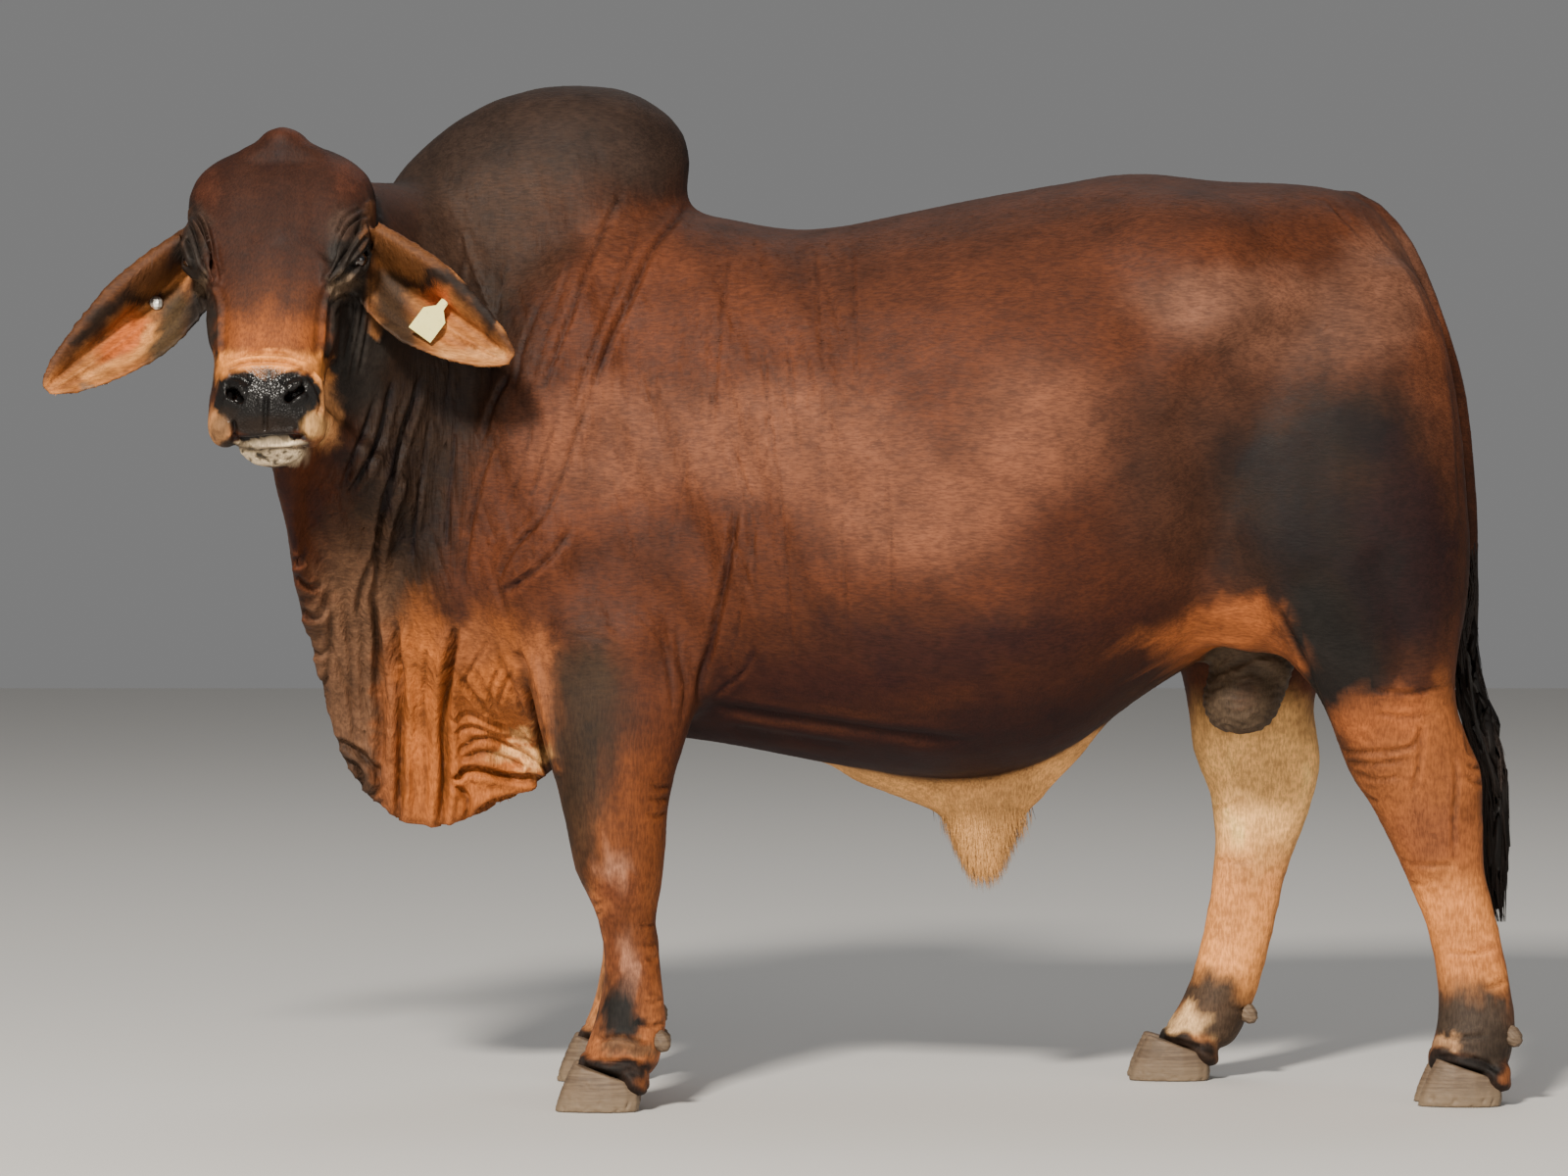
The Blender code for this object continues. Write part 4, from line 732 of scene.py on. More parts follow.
def thinned(hide, part, wanted):
    """Thin a mesh part by part, each to its own number of triangles."""
    hide.data.calc_loop_triangles()
    tris = np.empty(len(hide.data.loop_triangles) * 3, dtype=np.int32)
    hide.data.loop_triangles.foreach_get("vertices", tris)
    of_tris = part[tris.reshape(-1, 3)]
    for number in range(len(wanted)):
        group = hide.vertex_groups.new(name=str(number))
        group.add(np.nonzero(part == number)[0].tolist(), 1.0, "REPLACE")
    total = len(of_tris)
    for number, few in enumerate(wanted):
        gone = max((of_tris == number).all(axis=1).sum() - few, 0)
        ratio = 1 - gone / total
        finished(hide, "DECIMATE", ratio=ratio, vertex_group=str(number), vertex_group_factor=100.0)
        total -= gone
    hide.vertex_groups.clear()
    finished(hide, "DECIMATE", ratio=min(1.0, HIDE_TRIANGLES / triangles_in(hide)))
    hide.data.shade_smooth()
    return hide


def triangles_in(item):
    """How many triangles an object's faces make."""
    return sum(len(face.vertices) - 2 for face in item.data.polygons)


# Colour over the hide


def blobs(where, spots, soft=0.45):
    """1 inside soft ovals of the picture, each (across, down, half width, half height)."""
    left = np.ones(len(where))
    for across, down, wide, high in spots:
        reach = np.hypot((where[:, 0] - across) / wide, (where[:, 1] - down) / high)
        left *= smooth_step(reach, 1 - soft, 1 + soft)
    return 1 - left


def strip(where, line, width):
    """1 along a line of the picture, out to a width."""
    gap = off_line(where, curve_through(line, 3))[0]
    return 1 - smooth_step(gap / width, 0.4, 1.6)


# Dark speckles on the pale chin, as ovals of the picture
CHIN_SPECKS = (
    (262, 463, 2.2, 3.0),
    (270, 467, 2.6, 2.2),
    (276, 461, 1.6, 2.6),
    (284, 465, 2.4, 2.8),
    (291, 462, 1.8, 2.0),
    (255, 468, 1.8, 2.0),
    (280, 471, 3.0, 1.8),
    (298, 467, 1.6, 2.4),
    (248, 461, 1.5, 1.8),
    (306, 461, 1.4, 1.6),
    (267, 459, 1.5, 1.4),
    (288, 458, 1.3, 1.2),
    (265, 465, 2.0, 4.2),
    (273, 469, 1.8, 3.4),
    (279, 466, 1.6, 4.0),
    (294, 468, 2.6, 1.8),
)

# The coat's patches on the body: colour, strength, and ovals of the picture. A few are painted highlights
# and painted shade, marked where they stand.
BODY_PATCHES = (
    ((0.012, 0.0066, 0.0036), 0.95, ((450, 300, 95, 190), (410, 480, 60, 190))),
    ((0.120, 0.060, 0.032), 0.90, ((360, 680, 50, 130),)),
    ((0.040, 0.022, 0.013), 0.85, ((348, 780, 24, 22), (372, 804, 16, 20)), 0.6),
    ((0.021, 0.0125, 0.0090), 0.95, ((560, 125, 170, 70), (470, 180, 90, 60), (660, 145, 60, 60))),
    ((0.034, 0.0165, 0.0095), 0.75, ((520, 230, 110, 60),)),
    ((0.082, 0.023, 0.0085), 0.75, ((640, 300, 60, 70), (740, 330, 80, 60), (600, 520, 90, 40))),
    (
        (0.160, 0.060, 0.031),
        0.70,
        ((620, 450, 90, 60), (800, 450, 130, 60), (940, 520, 110, 60), (1060, 440, 80, 70)),
    ),
    ((0.050, 0.015, 0.0065), 0.70, ((650, 565, 60, 26), (470, 615, 34, 30), (1010, 655, 170, 34))),
    ((0.330, 0.100, 0.022), 0.95, ((430, 740, 34, 115), (505, 730, 52, 90), (500, 815, 60, 36))),
    # Painted highlight: cream spots on the dewlap's folds
    ((0.800, 0.430, 0.160), 0.80, ((543, 775, 17, 10), (520, 768, 20, 7), (530, 750, 14, 6))),
    ((0.200, 0.066, 0.022), 0.80, ((395, 740, 14, 90), (545, 690, 22, 50), (480, 660, 30, 24))),
    (
        (0.022, 0.0135, 0.0072),
        0.92,
        ((600, 745, 38, 85), (585, 830, 24, 70), (600, 690, 30, 34), (596, 880, 12, 30)),
        0.8,
    ),
    ((0.110, 0.030, 0.0068), 0.90, ((655, 830, 34, 60), (650, 960, 30, 70), (640, 890, 36, 40))),
    ((0.090, 0.026, 0.010), 0.80, ((632, 912, 22, 18), (622, 960, 12, 40))),
    # Painted highlight: a pale sheen down the front of the near foreleg
    ((0.300, 0.140, 0.085), 0.70, ((624, 884, 16, 14), (642, 990, 9, 36))),
    ((0.010, 0.009, 0.008), 1.00, ((629, 1032, 23, 32), (636, 1044, 20, 18)), 0.45),
    ((0.115, 0.058, 0.028), 0.90, ((635, 1070, 26, 8), (655, 1072, 16, 7))),
    ((0.011, 0.009, 0.008), 0.97, ((640, 1091, 36, 9),)),
    ((0.042, 0.0105, 0.0035), 0.80, ((1185, 480, 55, 90), (1140, 570, 110, 70))),
    # Painted shade: darker along the lower barrel and the belly
    ((0.022, 0.0052, 0.0018), 0.85, ((1000, 655, 190, 34), (860, 690, 140, 24)), 0.8),
    ((0.130, 0.056, 0.033), 0.80, ((1330, 330, 110, 50), (1250, 310, 90, 36), (1420, 290, 50, 60))),
    ((0.120, 0.036, 0.014), 0.70, ((1470, 430, 30, 120),)),
    ((0.036, 0.015, 0.008), 0.75, ((1240, 440, 110, 70), (1230, 510, 80, 70), (1360, 520, 130, 170)), 0.8),
    (
        (0.0068, 0.0042, 0.0028),
        0.96,
        ((1300, 480, 62, 46), (1380, 440, 70, 44), (1340, 550, 84, 70), (1385, 620, 76, 66)),
        0.65,
    ),
    ((0.0080, 0.0068, 0.0060), 0.96, ((1372, 700, 44, 70), (1340, 640, 30, 50))),
    ((0.0096, 0.0030, 0.0015), 0.90, ((1440, 560, 54, 110),)),
    (
        (0.280, 0.082, 0.021),
        0.90,
        ((1230, 652, 60, 20), (1306, 684, 24, 30), (1262, 630, 46, 18), (1430, 740, 70, 30)),
    ),
    ((0.225, 0.072, 0.020), 0.92, ((1460, 805, 90, 56), (1480, 740, 26, 50), (1450, 870, 70, 36))),
    ((0.140, 0.042, 0.016), 0.60, ((1460, 850, 40, 26),)),
    ((0.520, 0.190, 0.048), 0.95, ((1480, 940, 60, 44), (1500, 1000, 44, 24))),
    ((0.036, 0.027, 0.020), 0.98, ((1500, 1040, 56, 36), (1524, 1066, 36, 32)), 0.5),
    ((0.360, 0.200, 0.100), 0.85, ((1478, 1066, 18, 8),)),
    ((0.013, 0.010, 0.009), 0.96, ((1500, 1091, 46, 10),)),
)
FAR_PATCHES = (
    # Partly the far hock's pale hair, partly painted light: made paler where the belly shades it
    ((0.84, 0.47, 0.17), 0.97, ((1280, 800, 90, 80),)),
    ((0.64, 0.26, 0.072), 0.95, ((1265, 960, 80, 80), (1270, 1000, 60, 30)), 0.9),
    ((0.034, 0.026, 0.019), 0.96, ((1230, 1016, 36, 22), (1256, 1052, 32, 36), (1188, 1050, 17, 17)), 0.5),
    ((0.66, 0.42, 0.20), 0.92, ((1212, 1046, 24, 13),)),
)
DARK_SKIN_AND_SHADE = (0.014, 0.011, 0.009)
FACE_PATCHES = (
    ((0.028, 0.0092, 0.0046), 1.0, ((290, 200, 130, 118),)),
    ((0.070, 0.021, 0.010), 0.5, ((366, 176, 24, 20), (212, 188, 14, 26), (300, 130, 40, 16))),
    ((0.066, 0.020, 0.0066), 0.9, ((276, 310, 60, 24),)),
    ((0.21, 0.058, 0.012), 0.95, ((276, 342, 60, 22),)),
    ((0.66, 0.240, 0.052), 0.95, ((272, 369, 56, 12), (331, 398, 11, 34), (224, 378, 8, 12)), 0.35),
    ((0.46, 0.210, 0.080), 0.95, ((334, 420, 14, 34), (222, 440, 13, 22)), 0.35),
    # Dark skin around the eyes; on the cheeks and the sides of the face these patches are partly dark hair,
    # partly painted shade
    (DARK_SKIN_AND_SHADE, 0.97, ((364, 248, 27, 33), (350, 268, 18, 26), (368, 315, 34, 50), (349, 322, 13, 44))),
    (DARK_SKIN_AND_SHADE, 0.97, ((360, 378, 25, 50), (384, 300, 14, 95))),
    (DARK_SKIN_AND_SHADE, 0.97, ((194, 246, 21, 36), (206, 330, 18, 44), (208, 378, 15, 34), (197, 290, 14, 34))),
    ((0.040, 0.022, 0.015), 0.75, ((350, 232, 16, 14), (206, 232, 9, 16))),
    ((0.120, 0.082, 0.052), 0.80, ((353, 288, 14, 9), (346, 297, 9, 8), (206, 290, 6, 10)), 0.6),
    (
        (0.0065, 0.0058, 0.0056),
        1.0,
        ((272, 397, 50, 22), (272, 424, 43, 23), (230, 406, 12, 21), (314, 403, 13, 20)),
        0.12,
    ),
    ((0.015, 0.0090, 0.0058), 0.75, ((272, 434, 36, 9), (232, 424, 9, 8)), 0.6),
    ((0.45, 0.250, 0.095), 0.95, ((322, 435, 14, 13),), 0.3),
    ((0.17, 0.088, 0.040), 0.90, ((224, 438, 9, 14),), 0.4),
    ((0.013, 0.010, 0.009), 0.92, ((234, 457, 11, 9),), 0.3),
    ((0.18, 0.066, 0.022), 0.8, ((328, 453, 12, 7),)),
    ((0.70, 0.560, 0.370), 0.97, ((276, 463, 37, 12), (276, 452, 34, 4)), 0.2),
    ((0.008, 0.006, 0.006), 0.95, ((250, 447, 15, 2.2), (275, 446, 22, 2.2), (300, 447, 14, 2.2)), 0.5),
    ((0.050, 0.036, 0.026), 0.75, ((252, 457, 13, 1.6), (275, 456.5, 18, 1.6), (298, 457, 13, 1.6)), 0.5),
    (DARK_SKIN_AND_SHADE, 0.92, CHIN_SPECKS, 0.35),
)
# The ears' insides: colour, strength, width in the picture, and the line it runs along. Some rows are
# painted shadow under the roll and along the lower edge, and one is a painted highlight on the rim.
EAR_STREAKS = (
    ((0.070, 0.026, 0.009), 0.96, 19, ((206, 235), (170, 258), (130, 288), (98, 320), (66, 354))),
    ((0.034, 0.024, 0.012), 0.95, 22, ((184, 318), (176, 344), (168, 362))),
    ((0.360, 0.085, 0.016), 0.90, 13, ((140, 328), (130, 344), (112, 356))),
    ((0.480, 0.215, 0.064), 0.80, 5, ((153, 334), (147, 354), (118, 372), (86, 386))),
    # Painted shadow in the recess under the roll
    ((0.014, 0.008, 0.005), 0.97, 7, ((164, 303), (146, 301), (126, 304), (104, 325), (78, 350))),
    ((0.150, 0.110, 0.080), 0.70, 3, ((180, 374), (150, 386), (115, 393), (84, 397))),
    ((0.100, 0.038, 0.012), 0.95, 18, ((386, 246), (418, 253), (452, 272), (484, 300), (510, 330))),
    ((0.022, 0.014, 0.008), 0.95, 21, ((400, 292), (400, 320), (408, 346))),
    # Painted highlight along the upper rim near the tip
    ((0.420, 0.170, 0.055), 0.70, 5, ((466, 276), (496, 302), (518, 334))),
    ((0.440, 0.090, 0.020), 0.92, 11, ((440, 298), (450, 314))),
    ((0.520, 0.250, 0.088), 0.80, 6, ((452, 358), (480, 364), (512, 362))),
    # Painted shadow in the recess under the roll
    ((0.012, 0.007, 0.005), 0.97, 7, ((418, 286), (446, 281), (468, 290), (488, 308), (502, 330))),
    # Painted shadow along the lower edge
    ((0.060, 0.045, 0.034), 0.70, 4, ((392, 350), (420, 362), (452, 370))),
)


def laid(tone, colour, share):
    """A colour laid over a tone, by a share for each corner."""
    return tone * (1 - share[:, None]) + np.array(colour) * share[:, None]


def patched(tone, where, patches, mask=1.0):
    """Lay a table of patches over a tone."""
    for colour, strength, spots, *soft in patches:
        tone = laid(tone, colour, strength * blobs(where, spots, *soft) * mask)
    return tone


def wave(points, size, number):
    """Soft noise of a size over points, numbered after the seed."""
    return Ripple(size, SEED + number)(points)


def paint_hide(hide):
    """Store the hide's tone, with painted shade and highlights in places, and where it is wrinkled, wet or
    covered in upright hair.
    """
    points = places(hide) - SHIFT
    normals = normals_of(hide)
    where = seen(points)
    face_where = seen(points, False)
    wander = np.stack((wave(points, 0.05, 3), wave(points, 0.05, 4)), axis=1)
    fine = np.stack((wave(points, 0.018, 5), wave(points, 0.018, 6)), axis=1)
    near = points[:, 1] < 0.02
    head = head_share(points)
    tone = np.tile(np.array((0.064, 0.0175, 0.0060)), (len(points), 1))
    crest = 0.85 * smooth_step(normals[:, 2], 0.45, 0.95) * smooth_step(points[:, 2], 1.1, 1.3)
    tone = laid(tone, (0.040, 0.015, 0.008), crest)
    # Painted shade: the hide is darkened where it faces down, under the body
    tone = laid(tone, (0.014, 0.0034, 0.0012), 0.92 * smooth_step(-normals[:, 2], 0.20, 0.80))
    tone = laid(tone, (0.44, 0.180, 0.065), smooth_step(-points[:, 2], -0.50, -0.34) * (1 - near))
    tone = laid(tone, (0.30, 0.100, 0.032), smooth_step(-points[:, 2], -0.52, -0.42) * near)
    both_sides = (near | (where[:, 0] < 1160)) * 1.0
    tone = patched(tone, where + 3.0 * wander + 1.6 * fine, BODY_PATCHES, both_sides)
    tone = patched(tone, face_where + 4.0 * wander, FAR_PATCHES, ~near * (points[:, 0] > 0.4))
    steady = 1 - 0.75 * blobs(face_where, ((274, 425, 62, 52),), 0.2)[:, None]
    face = patched(tone, face_where + steady * (1.8 * wander + 1.4 * fine), FACE_PATCHES)
    # The sides of the jaws, which the photograph doesn't show, are plain
    hidden = smooth_step(normals[:, 1], -0.22, 0.12) * smooth_step(-points[:, 2], -1.27, -1.21)
    tone = laid(tone, laid(face, (0.046, 0.0175, 0.0085), hidden), head)
    ears = np.zeros(len(points))
    for side in EAR_LINES:
        run, across, there, _ = on_ear(points, side)
        inner = smooth_step(-normals[:, 1], -0.1, 0.3)
        streak = 0.5 + 0.5 * np.sin(9.0 * across + 3.0 * run + wander[:, 0])
        inside = np.outer(1 - streak, (0.25, 0.088, 0.023)) + np.outer(streak, (0.33, 0.130, 0.037))
        inside = laid(inside, (0.13, 0.050, 0.018), smooth_step(across, 0.45, 0.75))
        found = np.nonzero(there > 0)[0]
        shifted = face_where[found] + 1.6 * wander[found] + 1.0 * fine[found]
        for colour, strength, width, line in EAR_STREAKS:
            inside[found] = laid(inside[found], colour, strength * strip(shifted, line, width))
        back = np.array((0.105, 0.036, 0.015))
        tone = laid(tone, laid(back, inside, inner), there)
        ears = np.maximum(ears, there)
    bag = inside_box(points + SHIFT, *box_of("scrotum"), 0.02)
    tone = laid(tone, (0.075, 0.050, 0.031), bag)
    rim = 1 - smooth_step(to_claws(points + SHIFT) + 0.002 * wander[:, 0], 0.013, 0.024)
    tone = laid(tone, (0.011, 0.009, 0.008), 0.96 * rim)
    # The sheath's tan hair, partly painted light: made paler where the belly shades it
    tube = inside_box(points + SHIFT, *box_of("sheath"), 0.03)
    tone = laid(tone, (0.66, 0.340, 0.120), 0.9 * tube)
    # Painted shade darkens the hide in the creases of the folds and a painted highlight lightens it on
    # their ridges; the mottle is the coat's own uneven tone.
    crease = np.clip(folds_of(points, normals, head, ears, 6.0) / 0.005, -0.4, 1.0)
    mottle = 0.10 * wave(points, 0.09, 7) + 0.06 * wave(points, 0.012, 8)
    tone *= (1 + mottle - 0.4 * crease)[:, None]
    paint(hide, "tone", np.clip(tone, 0.004, 0.9))
    loose = 0.30 * blobs(where, ((470, 420, 130, 280), (620, 420, 140, 240), (760, 440, 130, 240)))
    loose = np.maximum(loose, blobs(where, ((390, 620, 80, 230), (420, 500, 70, 150), (500, 735, 60, 80))))
    wet = blobs(face_where, ((272, 405, 52, 34), (272, 430, 40, 16))) * head
    legs = np.maximum(smooth_step(-points[:, 2], -0.75, -0.60), head)
    paint(hide, "feel", np.stack((loose * (1 - head) * (1 - ears), wet, legs), axis=1))


def inside_box(points, low, high, soft):
    """1 inside a box, fading to 0 over a soft edge within it."""
    share = np.ones(len(points))
    for axis in range(3):
        share *= smooth_step(points[:, axis], low[axis] - soft / 2, low[axis] + soft / 2)
        share *= 1 - smooth_step(points[:, axis], high[axis] - soft / 2, high[axis] + soft / 2)
    return share


def paint(item, name, values):
    """Store a colour for each corner."""
    colour = np.ones((len(values), 4), dtype=np.float32)
    colour[:, :3] = values
    layer = item.data.color_attributes.new(name, "FLOAT_COLOR", "POINT")
    layer.data.foreach_set("color", colour.ravel())


# Eyes, claws, switch, tag and stud


def build_eye(side):
    """An eyeball with a clear bulge in front of its iris."""
    turn = 1 if side == "left" else -1
    middle = HEAD @ Vector((EYE[0], turn * EYE[1], EYE[2])) + ORIGIN
    aim = (HEAD.to_3x3() @ Vector((EYE_AIM[0], turn * EYE_AIM[1], EYE_AIM[2]))).normalized()
    deselect()
    bpy.ops.mesh.primitive_uv_sphere_add(segments=64, ring_count=40, radius=EYE_RADIUS)
    eye = bpy.context.active_object
    eye.name = "eyeball_" + side
    points = places(eye)
    unit = points / np.linalg.norm(points, axis=1)[:, None]
    bulge = 1 - smooth_step(np.arccos(np.clip(unit[:, 2], -1, 1)), 0.0, 0.72)
    paint(eye, "aim", 0.5 + 0.5 * unit)
    points += unit * (0.0016 * bulge)[:, None]
    level = Vector((1.0, 0.0, 0.0))
    across = level.cross(aim).normalized()
    basis = np.array(Matrix((aim.cross(across) * -1, across, aim)))
    place(eye, points @ basis + np.array(middle))
    eye.data.shade_smooth()
    eye.data.materials.append(eye_finish(side))
    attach(eye, "root")
    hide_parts("eye_" + side)


def build_claws():
    """The eight claws and eight dewclaws, with the rings that horn grows in."""
    for name, parts, voxel, rounds in (("claws", FEET, 0.0028, 8), ("dewclaws", DEWCLAWS, 0.0018, 6)):
        claws = copy_of(name, parts, 0.0)
        finished(claws, "REMESH", mode="VOXEL", voxel_size=voxel)
        evened(claws, rounds)
        points = places(claws)
        if name == "dewclaws":
            for part in parts:
                low, high = box_of(part)
                inside = ((points > low - 0.002) & (points < high + 0.002)).all(axis=1)
                middle = (low + high) / 2
                forward = middle - np.array((0.005, 0.0, 0.0))
                points[inside] = forward + (points[inside] - middle) * (0.78, 0.85, 0.74)
            place(claws, points)
        normals = normals_of(claws)
        side = 1 - smooth_step(np.abs(normals[:, 2]), 0.75, 0.95)
        rise = points[:, 2] + 0.25 * points[:, 0] + 0.004 * wave(points, 0.05, 20)
        rings = np.sin(rise * 2 * math.pi / 0.0085) + 0.6 * np.sin(rise * 2 * math.pi / 0.0048)
        chips = np.maximum(wave(points, 0.018, 21) - 0.8, 0.0)
        chips *= 1 - smooth_step(points[:, 2], 0.006, 0.028)
        move = 0.00028 * rings * side - 0.0016 * chips * side
        foot = points[:, 2] > 0.0015
        points += normals * (move * foot)[:, None]
        place(claws, points)
        finished(claws, "DECIMATE", ratio=min(1.0, CLAW_TRIANGLES / triangles_in(claws)))
        claws.data.shade_smooth()
        claws.data.materials.append(horn_finish())
        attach(claws, "root")
        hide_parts(*parts)


# The switch: its middle line, with how far its hair spreads there
SWITCH_STRANDS = 760
SWITCH_LOCKS = 16
SWITCH = (
    (1.123, 0.0, 0.920, 0.0150),
    (1.123, 0.0, 0.880, 0.0150),
    (1.122, 0.0, 0.820, 0.0170),
    (1.119, 0.0, 0.763, 0.0185),
    (1.121, 0.0, 0.697, 0.0215),
    (1.138, 0.0, 0.612, 0.0250),
    (1.160, 0.0, 0.533, 0.0255),
    (1.168, 0.0, 0.435, 0.0225),
    (1.170, 0.0, 0.336, 0.0150),
    (1.176, 0.0, 0.280, 0.0060),
)


def build_switch():
    """The tail's switch: long strands that hang in locks."""
    draw = np.random.default_rng(SEED + 30)
    curve = curve_through(SWITCH, 5)
    run = np.linspace(0, 1, len(curve))
    rings = 11
    corners = []
    faces = []
    shades = []
    locks = draw.uniform(0, 2 * math.pi, size=(SWITCH_LOCKS, 3))
    for number in range(SWITCH_STRANDS):
        start = draw.uniform(0.0, 0.52)
        end = min(1.0, start + draw.uniform(0.36, 0.62))
        lock = locks[number % SWITCH_LOCKS]
        angle = lock[0] + draw.normal(0, 0.30)
        reach = math.sqrt(draw.uniform(0.25, 1.0))
        at = np.linspace(start, end, rings)
        middle = np.stack([np.interp(at, run, curve[:, axis]) for axis in range(4)], axis=1)
        twist = angle + 0.8 * np.sin(at * 7 + lock[1]) + draw.normal(0, 0.06, rings).cumsum()
        away = middle[:, 3] * reach
        away[0] *= 0.75
        spread = np.linspace(0, 1, rings) ** 3 * draw.uniform(-0.004, 0.006)
        path = middle[:, :3].copy()
        path[:, 0] += np.cos(twist) * (away + spread)
        path[:, 1] += np.sin(twist) * (away + spread) * 0.9
        thick = draw.uniform(0.0011, 0.0021) * (1 - np.linspace(0, 1, rings) ** 2.5) + 0.0002
        ring = []
        for k in range(rings):
            for corner in range(4):
                turn = corner * math.pi / 2 + 0.4
                offset = np.array((math.cos(turn), math.sin(turn), 0.0)) * thick[k]
                ring.append(path[k] + offset)
        base = number * rings * 4
        corners.append(np.array(ring))
        for k in range(rings - 1):
            for corner in range(4):
                one = base + k * 4 + corner
                two = base + k * 4 + (corner + 1) % 4
                faces.append((one, one + 4, two + 4))
                faces.append((one, two + 4, two))
        for top in (0, rings - 1):
            one, two, three, four = (base + top * 4 + corner for corner in range(4))
            pair = ((one, two, three), (one, three, four))
            faces.extend(pair if top == 0 else [tri[::-1] for tri in pair])
        shades.append(np.tile(draw.uniform(0.6, 1.5), (rings * 4, 3)))
    points = np.concatenate(corners) + SHIFT
    points[:, 0] = np.minimum(points[:, 0], cad_box[1][0] + 0.004)
    switch = object_of_arrays("switch_hair", points, np.array(faces))
    paint(switch, "tone", np.concatenate(shades) * np.array((0.016, 0.011, 0.009)))
    core = copy_of("switch_core", ("tail_switch",), -0.004)
    paint(core, "tone", np.tile(np.array((0.008, 0.006, 0.005)), (len(core.data.vertices), 1)))
    joined(switch, [core])
    switch.data.shade_smooth()
    switch.data.materials.append(hair_finish("switch_hair", 0.42))
    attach(switch, "root")
    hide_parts("tail_switch")


# The coat's tufts


def lie_of_hair(points, normals):
    """The way the hair lies at points of the drawing, along the surface."""
    rows = (
        (1.0, 0.0, -0.22),
        (0.12, 0.0, -1.0),
        (0.45, 0.0, -0.80),
        (0.55, 0.0, -0.85),
    )
    legs = smooth_step(-points[:, 2], -0.88, -0.62)
    front = 1 - smooth_step(points[:, 0], -0.62, -0.25)
    rear = smooth_step(points[:, 0], 0.75, 1.05)
    way = np.tile(np.array(rows[0]), (len(points), 1))
    for share, row in ((front, rows[2]), (rear, rows[3]), (legs, rows[1])):
        way = way * (1 - share[:, None]) + np.array(row) * share[:, None]
    own = in_head(points)
    head = head_share(points)[:, None]
    turn = np.array(HEAD.to_3x3())
    up = 1 - smooth_step(own[:, 0], 0.10, 0.20)
    drift = 0.9 * np.tanh(own[:, 1] / 0.06)
    face = np.outer(1 - 2 * up, turn[:, 0]) + np.outer(drift, turn[:, 1])
    way = way * (1 - head) + face * head
    for side in EAR_LINES:
        run, across, there, rise = on_ear(points, side)
        root, tip = (np.array(end) for end in EAR_LINES[side])
        along = (tip - root) / np.linalg.norm(tip - root)
        sweep = along + np.outer(np.clip(across, -1, 1) * 0.8, rise)
        way = way * (1 - there[:, None]) + sweep * there[:, None]
    way += 0.16 * np.stack([wave(points, 0.16, 40 + axis) for axis in range(3)], axis=1)
    way -= normals * (way * normals).sum(axis=1)[:, None]
    return way / np.maximum(np.linalg.norm(way, axis=1), 1e-6)[:, None]


class Skin:
    """The finished hide, ready to be planted: its triangles, their corners' tones and its unwrap."""

    def __init__(self, hide):
        hide.data.calc_loop_triangles()
        self.tris = np.empty(len(hide.data.loop_triangles) * 3, dtype=np.int32)
        hide.data.loop_triangles.foreach_get("vertices", self.tris)
        self.tris = self.tris.reshape(-1, 3)
        self.points = places(hide)
        self.normals = normals_of(hide)
        self.area = np.linalg.norm(self.cross(), axis=1) / 2
        layer = np.empty(len(self.points) * 4, dtype=np.float32)
        hide.data.color_attributes["tone"].data.foreach_get("color", layer)
        self.tone = layer.reshape(-1, 4)[:, :3].astype(float)
        self.ground = BVHTree.FromPolygons(self.points.tolist(), self.tris.tolist())
        self.chart, self.chart_uv, self.chart_faces = self.unwrapped(hide)

    def cross(self):
        """Twice each triangle's area, along its normal."""
        one, two, three = (self.points[self.tris[:, i]] for i in range(3))
        return np.cross(two - one, three - one)

    def unwrapped(self, hide):
        """A coarse copy of the hide, unwrapped, to give each tuft a place on a map of the skin."""
        chart = bpy.data.objects.new("chart", hide.data.copy())
        bpy.context.scene.collection.objects.link(chart)
        finished(chart, "DECIMATE", ratio=CHART_TRIANGLES / len(self.tris))
        make_active(chart)
        bpy.ops.object.mode_set(mode="EDIT")
        bpy.ops.mesh.select_all(action="SELECT")
        bpy.ops.uv.smart_project(angle_limit=math.radians(66), island_margin=0.004)
        bpy.ops.object.mode_set(mode="OBJECT")
        mesh = bmesh.new()
        mesh.from_mesh(chart.data)
        bmesh.ops.triangulate(mesh, faces=mesh.faces)
        layer = mesh.loops.layers.uv.active
        tree = BVHTree.FromBMesh(mesh)
        uv = np.array([[tuple(loop[layer].uv) for loop in face.loops] for face in mesh.faces])
        corners = np.array([[tuple(loop.vert.co) for loop in face.loops] for face in mesh.faces])
        mesh.free()
        bpy.data.objects.remove(chart)
        return tree, uv, corners

    def down_to(self, points):
        """The places on the skin nearest to points."""
        return np.array([tuple(self.ground.find_nearest(Vector(point))[0]) for point in points])

    def map_places(self, points):
        """Where points lie on the skin's unwrap."""
        found = np.empty((len(points), 2))
        for i, point in enumerate(points):
            near, _, index, _ = self.chart.find_nearest(Vector(point))
            one, two, three = self.chart_faces[index]
            side_a = two - one
            side_b = three - one
            gap = np.array(near) - one
            aa = side_a @ side_a
            ab = side_a @ side_b
            bb = side_b @ side_b
            ga = gap @ side_a
            gb = gap @ side_b
            scale = aa * bb - ab * ab
            if scale <= 0:
                found[i] = self.chart_uv[index][0]
                continue
            b = (bb * ga - ab * gb) / scale
            c = (aa * gb - ab * ga) / scale
            uv = self.chart_uv[index]
            found[i] = uv[0] * (1 - b - c) + uv[1] * b + uv[2] * c
        return found


